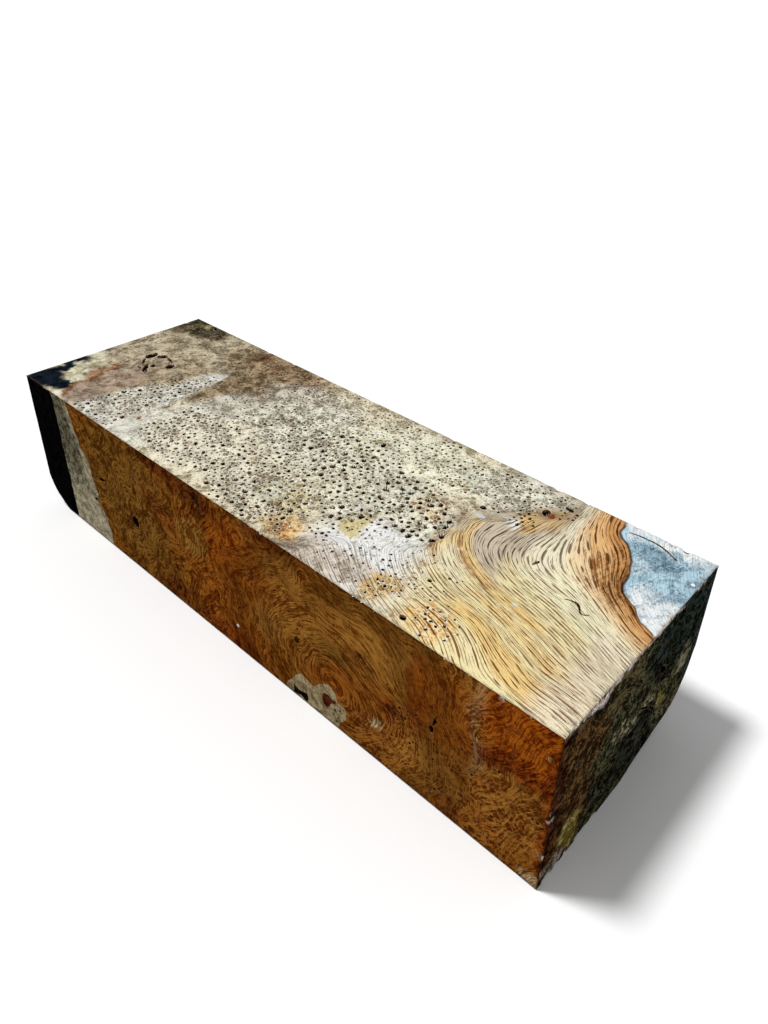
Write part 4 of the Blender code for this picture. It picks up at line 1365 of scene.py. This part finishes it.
# Finishes of the six faces and of the natural edges: sizes in mm, strengths from 0 to 1. The colours of the marks go
# with each face's tones: paler on the top with painted sheen, darker on the front and the end with painted shade.
FINISH_VALUES = {
    # pit is the near-black at the bottom of the eyes, openings and cracks: partly the eyes' own dark wood, partly
    # painted shade in the hollows
    "top": dict(
        width=0.27, length=6.0, cloud=2.4, grit=0.3, middle=0.56, band=0.4, fibre=0.6, hair=0.5, vein=0.95,
        mottle=0.6, grit_share=0.42, speck=0.25, cell=1.15, pore_size=0.85, soft=0.33, deep=0.5,
        rim=(254, 249, 228), rim_share=0.95, wall=0.5, ring=(112, 76, 44), pit=(18, 10, 6), pore=(70, 50, 32),
        worn=(104, 84, 60), worn_share=0.3, saw_turn=14.0, rough=(0.5, 0.72), relief=0.2,
    ),
    "front": dict(
        width=0.32, length=3.4, cloud=1.5, grit=0.3, middle=0.5, band=0.5, fibre=0.7, hair=0.6, vein=0.5,
        mottle=0.8, grit_share=0.5, speck=0.3, cell=1.3, pore_size=0.9, soft=0.42, deep=0.4,
        rim=(156, 118, 66), rim_share=0.5, wall=0.35, ring=(52, 24, 8), pit=(10, 4, 2), pore=(34, 14, 6),
        worn=(40, 12, 4), worn_share=0.6, saw_turn=4.0, rough=(0.4, 0.62), relief=0.14,
    ),
    "end": dict(
        width=0.5, length=2.6, cloud=1.8, grit=0.45, middle=0.44, band=0.6, fibre=0.7, hair=0.5, vein=0.5,
        mottle=1.0, grit_share=0.7, speck=0.6, cell=1.4, pore_size=1.0, soft=0.4, deep=0.4,
        rim=(110, 100, 76), rim_share=0.4, wall=0.2, ring=(24, 18, 10), pit=(4, 3, 2), pore=(8, 6, 4),
        worn=(60, 44, 32), worn_share=0.3, saw_turn=30.0, rough=(0.45, 0.68), relief=0.2,
    ),
}
FINISH_VALUES["back"] = dict(FINISH_VALUES["front"], saw_turn=8.0, relief=0.16)
FINISH_VALUES["under"] = dict(FINISH_VALUES["front"], saw_turn=-6.0, relief=0.12, rough=(0.45, 0.66))
FINISH_VALUES["bark"] = FINISH_VALUES["end"]
FRESH_WOOD = (236, 222, 204)
FRESH_LIGHT = 1.6
# No gloss on the sawn faces: the top's sheen is painted into its near-white tones instead
SAWN_GLOSS = 0.0
NATURAL_LIGHT = 0.6


def own_colour(rgb, light=1.0):
    """A tone given as it looks under the lamps, as a linear colour."""
    return (*(float(min(0.9, part)) for part in in_linear(rgb) / light), 1.0)


def new_finish(name):
    """An empty material, its bench, and the place in mm that its patterns follow."""
    material = bpy.data.materials.new(name)
    material.use_nodes = True
    material.node_tree.nodes.clear()
    bench = Bench(material.node_tree)
    return material, bench, bench.scaled(bench.node("ShaderNodeTexCoord").outputs["Object"], 1 / MM)


def close_finish(bench, wood, rough, gloss, height, relief, strength=0.9):
    """Feeds a finish's colour, roughness and relief in mm to its shader."""
    bump = bench.node("ShaderNodeBump", {"Strength": strength, "Distance": relief * MM, "Height": height})
    shader = bench.node("ShaderNodeBsdfPrincipled", {
        "Base Color": wood, "Roughness": rough, "Normal": bump.outputs[0], "Specular IOR Level": gloss,
    })
    bench.node("ShaderNodeOutputMaterial", {"Surface": shader.outputs[0]})


def sawn_finish(name):
    """One sawn face: tones along the grain, burl eyes, worn edges, scratches and relief."""
    values = FINISH_VALUES[name]
    lamps = FACE_LIGHT[name]
    material, bench, place = new_finish(name + "_sawn")
    run, line_share, mottle_share = bench.parts("grain")
    eye, chip, edge = bench.parts("marks")
    cell_share, pore_share, lift = bench.parts("cells")
    light, dark = (bench.node("ShaderNodeAttribute", attribute_name=tone).outputs["Color"]
                   for tone in ("tone_light", "tone_dark"))
    given = {"Place_mm": place}
    lines = bench.group(SHARED["lines"], Run_mm=run, Width_mm=values["width"], Length_mm=values["length"], **given)
    mottle = bench.group(SHARED["mottle"], Cloud_mm=values["cloud"], Grit_mm=values["grit"], **given)
    rings = bench.group(SHARED["eye"], Eye=eye, Grit=mottle["Grit"])
    cells = bench.group(SHARED["cells"], Cell_mm=values["cell"], Pore_mm=values["pore_size"], **given)
    wear = bench.group(SHARED["wear"], Edge_mm=edge, Chip=chip, **given)
    turned = bench.node("ShaderNodeMapping", {"Vector": place, "Rotation": (0, 0, math.radians(values["saw_turn"]))})
    saw = bench.group(SHARED["saw"], Place_mm=turned.outputs[0])

    share = bench.sum("ADD", lift, values["middle"])
    for value, middle, strength in (
        (lines["Band"], 0.5, bench.times(line_share, values["band"])),
        (lines["Fibre"], 0.5, bench.times(line_share, values["fibre"])),
        (lines["Hair"], 0.5, bench.times(line_share, values["hair"])),
        (mottle["Cloud"], 0.5, bench.times(mottle_share, values["mottle"])),
        (mottle["Grit"], 0.5, bench.times(mottle_share, values["grit_share"])),
        (cells["Tone"], 0.5, bench.times(cell_share, 0.4)),
        (cells["Wall"], 0.3, bench.times(cell_share, 0.5)),
        (saw["Scratch"], 0.5, 0.12),
    ):
        share = bench.plus(share, (bench.sum("SUBTRACT", value, middle), strength))
    deep = bench.scaled(dark, values["deep"])
    pores = bench.sum("MULTIPLY", cells["Pore"], pore_share, clamp=True)
    rims = bench.ramp(cell_share, 0.05, 0.35, 0.2, 1.0)
    wood = bench.mixed(bench.ramp(share, 0.52 - values["soft"], 0.52 + values["soft"]), dark, light)
    pale, pore, worn, ring, pit = (own_colour(values[key], lamps) for key in ("rim", "pore", "worn", "ring", "pit"))
    for cover, tone in (
        (bench.times(cells["Wall"], cell_share, values["wall"]), pale),
        (bench.times(lines["Vein"], bench.ramp(line_share, 0.1, 0.6, 0.0, values["vein"])), deep),
        (bench.times(mottle["Speck"], mottle_share, values["speck"]), deep),
        (pores, pore),
        (bench.times(wear["Worn"], values["worn_share"]), worn),
        (bench.times(wear["Fresh"], 0.85), own_colour(FRESH_WOOD, lamps * FRESH_LIGHT)),
        (bench.times(rings["Rim"], rims, values["rim_share"]), pale),
        (bench.times(rings["Ring"], 0.9), ring),
        # Pits of eyes, openings and cracks painted near-black: partly dark wood, partly painted shade in the hollows
        (rings["Pit"], pit),
    ):
        wood = bench.mixed(cover, wood, tone)
    height = bench.plus(
        bench.times(lines["Fibre"], line_share, 0.5), (lines["Hair"], 0.2), (mottle["Grit"], 0.35),
        (saw["Scratch"], 0.18), (saw["Wave"], 0.3), (lines["Vein"], -0.6), (rings["Ring"], -0.8), (pores, -0.8),
    )
    low, high = values["rough"]
    rough = bench.plus(low, (mottle["Grit"], high - low), (rings["Pit"], 0.3), (wear["Worn"], 0.1), clamp=True)
    close_finish(bench, wood, rough, SAWN_GLOSS, height, values["relief"])
    return material


def natural_finish():
    """The natural edge: dark, rough skin of the burl with knuckles and dust."""
    material, bench, place = new_finish("natural_edge")
    mottle = bench.group(SHARED["mottle"], Place_mm=place, Cloud_mm=4.2, Grit_mm=0.8)
    skin = bench.group(SHARED["mottle"], Place_mm=place, Cloud_mm=1.6, Grit_mm=0.32)
    stretched = bench.node("ShaderNodeMapping", {"Vector": place, "Scale": (0.35, 1.0, 1.0)}).outputs[0]
    ridge = bench.ramp(bench.noise(stretched, 0.9, 4.0, 0.62, 1.2), 0.38, 0.62)
    wood = own_colour((34, 22, 14), NATURAL_LIGHT)
    for value, strength, tone in (
        (mottle["Cloud"], 1.0, (92, 66, 42)), (ridge, 0.6, (64, 52, 40)),
        (skin["Grit"], 0.35, (20, 14, 9)), (skin["Speck"], 0.5, (120, 104, 80)),
    ):
        wood = bench.mixed(bench.times(value, strength), wood, own_colour(tone, NATURAL_LIGHT))
    height = bench.plus(ridge, (skin["Cloud"], 0.8), (skin["Grit"], 0.4))
    close_finish(bench, wood, bench.plus(0.66, (skin["Grit"], 0.2)), 0.25, height, 0.35)
    return material


def crumb_finish():
    """Pale, dry crumbs of wood."""
    material, bench, place = new_finish("wood_crumbs")
    mottle = bench.group(SHARED["mottle"], Place_mm=place, Cloud_mm=0.6, Grit_mm=0.12)
    wood = bench.mixed(mottle["Cloud"], own_colour((232, 214, 192)), own_colour((252, 248, 240)))
    close_finish(bench, wood, bench.plus(0.6, (mottle["Grit"], 0.2)), 0.3, mottle["Grit"], 0.02, 0.5)
    return material


# Geometry Nodes


def sawn_relief_tree(finishes):
    """Presses the skin in where it is cut, ripples it as the saw left it, and sets the finishes."""
    inputs = {"Geometry": "geometry", "Pit Depth": 1.0, "Relief Height": 0.05, "Relief Pitch": 2.4,
              "Saw Ripple": 0.02, "Ripple Pitch": 1.7, "Skin Sink": 0.05, "Seed": 3.0}
    tree, bench, given, out = new_group("sawn_relief", inputs, ("Geometry",), "GeometryNodeTree")
    place = bench.scaled(bench.node("GeometryNodeInputPosition").outputs[0], 1 / MM)
    lump = bench.noise(place, bench.sum("DIVIDE", 1.0, given["Relief Pitch"]), 2.0, 0.5, 0.0, given["Seed"])
    x, _, z = bench.parts(place)
    phase = bench.sum("DIVIDE", bench.plus(x, (z, 0.2)), given["Ripple Pitch"])
    ripple = bench.times(bench.plus(0.5, (bench.sum("SINE", bench.times(phase, math.tau)), 0.5)), given["Saw Ripple"])
    cut = bench.node("GeometryNodeInputNamedAttribute", {"Name": "sink"}, data_type="FLOAT").outputs[0]
    depth = bench.plus(bench.times(cut, given["Pit Depth"]), (lump, given["Relief Height"]), (ripple, 1.0),
                       (given["Skin Sink"], 1.0))
    offset = bench.scaled(bench.node("GeometryNodeInputNormal").outputs[0], bench.times(depth, -MM))
    moved = bench.node("GeometryNodeSetPosition", {"Geometry": given["Geometry"], "Offset": offset})
    shape = bench.node("GeometryNodeRealizeInstances", {"Geometry": moved.outputs[0]}).outputs[0]
    number = bench.node("GeometryNodeInputNamedAttribute", {"Name": "finish"}, data_type="INT").outputs[0]
    for index, finish in enumerate(finishes):
        chosen = bench.node("FunctionNodeCompare", {2: number, 3: index}, data_type="INT", operation="EQUAL")
        values = {"Geometry": shape, "Selection": chosen.outputs[0], "Material": finish}
        shape = bench.node("GeometryNodeSetMaterial", values).outputs[0]
    bench.feed(out, {"Geometry": shape})
    return tree


def saw_crumbs_tree(finish):
    """Small flat crumbs of wood on the given points, each with its own turn and size."""
    inputs = {"Geometry": "geometry", "Crumb Length": 0.5, "Crumb Height": 0.12, "Seed": 8}
    tree, bench, given, out = new_group("saw_crumbs", inputs, ("Geometry",), "GeometryNodeTree")
    crumb = bench.node("GeometryNodeMeshIcoSphere", {"Radius": 0.5 * MM, "Subdivisions": 2})
    place = bench.node("GeometryNodeInputPosition").outputs[0]
    rough = bench.noise(bench.scaled(place, 1 / MM), 2.6, 2.0, 0.5, 0.0, 4.0)
    sway = bench.scaled(place, bench.times(bench.sum("SUBTRACT", rough, 0.5), 1.4))
    torn = bench.node("GeometryNodeSetPosition", {"Geometry": crumb.outputs[0], "Offset": sway})
    turn = bench.node("FunctionNodeRandomValue", {0: (0, 0, 0), 1: (0, 0, math.tau), "Seed": given["Seed"]},
                      data_type="FLOAT_VECTOR").outputs[0]
    size = bench.node("FunctionNodeRandomValue", {2: 0.45, 3: 1.0, "Seed": given["Seed"]}, data_type="FLOAT").outputs[1]
    length = given["Crumb Length"]
    flat = bench.node("ShaderNodeCombineXYZ", {0: length, 1: bench.times(length, 0.6), 2: given["Crumb Height"]})
    shape = bench.node("GeometryNodeInstanceOnPoints", {
        "Points": given["Geometry"], "Instance": torn.outputs[0], "Rotation": turn,
        "Scale": bench.scaled(flat.outputs[0], size),
    })
    shape = bench.node("GeometryNodeRealizeInstances", {"Geometry": shape.outputs[0]})
    shape = bench.node("GeometryNodeSetMaterial", {"Geometry": shape.outputs[0], "Material": finish})
    bench.feed(out, {"Geometry": shape.outputs[0]})
    return tree


def in_scene(name, data):
    """A new object in the scene."""
    item = bpy.data.objects.new(name, data)
    bpy.context.scene.collection.objects.link(item)
    return item


def through_nodes(name, mesh, tree, values):
    """Runs a mesh through a Geometry Nodes tree and returns the result as a plain object."""
    source = in_scene(name + "_source", mesh)
    modifier = source.modifiers.new(tree.name, "NODES")
    modifier.node_group = tree
    identifiers = {item.name: item.identifier for item in tree.interface.items_tree if item.in_out == "INPUT"}
    for key, value in values.items():
        modifier[identifiers[key]] = value
    depsgraph = bpy.context.evaluated_depsgraph_get()
    made = bpy.data.meshes.new_from_object(
        source.evaluated_get(depsgraph), preserve_all_data_layers=True, depsgraph=depsgraph
    )
    made.name = name
    bpy.data.objects.remove(source, do_unlink=True)
    return in_scene(name, made)


def make_skin():
    """The block's skin with its relief and finishes."""
    finishes = [sawn_finish(name) for name in FACES] + [natural_finish()]
    skin = through_nodes("burl_block_skin", build_skin(), sawn_relief_tree(finishes), {
        "Pit Depth": 1.0, "Relief Height": 0.05, "Relief Pitch": 2.4, "Saw Ripple": 0.012, "Ripple Pitch": 1.7,
        "Skin Sink": SKIN_SINK, "Seed": 3.0,
    })
    for name in ("sink", "finish"):
        skin.data.attributes.remove(skin.data.attributes[name])
    for vert in skin.data.vertices:
        vert.co = np.clip(vert.co, (LOW + BOX_CLEARANCE) * MM, (HIGH - BOX_CLEARANCE) * MM)
    return skin


# Crumbs that the saw left, in mm of the block: lone ones, and runs given as (from, to, count)
LONE_CRUMBS = (
    (1.4, -21.12, 5.8), (34.3, -21.04, 30.55), (46.8, -21.04, 30.5), (50.8, -21.04, 30.55), (60.2, -21.04, 30.5),
)
CRUMB_RUNS = (
    ((22.0, -21.0, 30.6), (34.0, -21.0, 30.6), 5),
    ((64.75, -20.0, 30.55), (64.75, 0.0, 30.55), 6),
)


def make_crumbs():
    """Crumbs of wood left along the top edges, and a few lone ones."""
    places = list(LONE_CRUMBS)
    for start, end, count in CRUMB_RUNS:
        for _ in range(count):
            share = rng.random()
            places.append([a + (b - a) * share for a, b in zip(start, end)])
    mesh = bpy.data.meshes.new("crumb_places")
    mesh.from_pydata([[value * MM for value in place] for place in places], [], [])
    tree = saw_crumbs_tree(crumb_finish())
    return through_nodes("saw_crumbs", mesh, tree, {"Crumb Length": 0.42, "Crumb Height": 0.1, "Seed": 8})


# Studio

FLOOR_HALF = 6.0
WINDOW_TOWARD = (-0.34, -0.16, 0.93)
WINDOW_STRENGTH = 2.65
WINDOW_SIZE = 10
SURROUND_STRENGTH = 0.42

# The photograph's viewpoint: lens in mm, shifts, and the camera's right, up, backward and place in metres
LENS = 28.4
SHIFTS = (-0.0275, -0.0792)
VIEWPOINT = (
    (0.7455, 0.6659, 0.0304), (-0.3615, 0.3656, 0.8577), (0.56, -0.6504, 0.5132), (0.09096, -0.08027, 0.1083),
)


def make_floor():
    """A plain pale floor."""
    mesh = bpy.data.meshes.new("studio_floor")
    corners = [(x * FLOOR_HALF, y * FLOOR_HALF, 0) for x, y in ((-1, -1), (1, -1), (1, 1), (-1, 1))]
    mesh.from_pydata(corners, [], [(0, 1, 2, 3)])
    material = bpy.data.materials.new("pale_floor")
    material.use_nodes = True
    shader = material.node_tree.nodes["Principled BSDF"]
    for key, value in (("Base Color", (0.9, 0.9, 0.9, 1.0)), ("Roughness", 0.9), ("Specular IOR Level", 0.1)):
        shader.inputs[key].default_value = value
    mesh.materials.append(material)
    in_scene("studio_floor", mesh)


def make_lights():
    """Soft daylight from the left and above, with a white surround."""
    lamp = bpy.data.lights.new("window_light", "SUN")
    lamp.energy = WINDOW_STRENGTH
    lamp.angle = math.radians(WINDOW_SIZE)
    sun = in_scene("window_light", lamp)
    sun.rotation_mode = "QUATERNION"
    sun.rotation_quaternion = Vector(WINDOW_TOWARD).to_track_quat("Z", "Y")
    world = bpy.data.worlds.new("studio")
    world.use_nodes = True
    background = world.node_tree.nodes["Background"]
    background.inputs["Color"].default_value = (1.0, 1.0, 1.0, 1.0)
    background.inputs["Strength"].default_value = SURROUND_STRENGTH
    bpy.context.scene.world = world
    bpy.context.scene.view_settings.view_transform = "Standard"


def make_camera():
    """The photograph's viewpoint."""
    lens = bpy.data.cameras.new("camera")
    lens.sensor_width = 36.0
    lens.lens = LENS
    lens.shift_x, lens.shift_y = SHIFTS
    lens.clip_start = 0.005
    camera = in_scene("camera", lens)
    place = Matrix.Identity(4)
    for axis, column in enumerate(VIEWPOINT):
        place.col[axis][:3] = column
    camera.matrix_world = place
    bpy.context.scene.camera = camera


make_floor()
make_lights()
make_camera()
skin = make_skin()
crumbs = make_crumbs()
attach(skin, "root")
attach(crumbs, "root")
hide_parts(NODE)
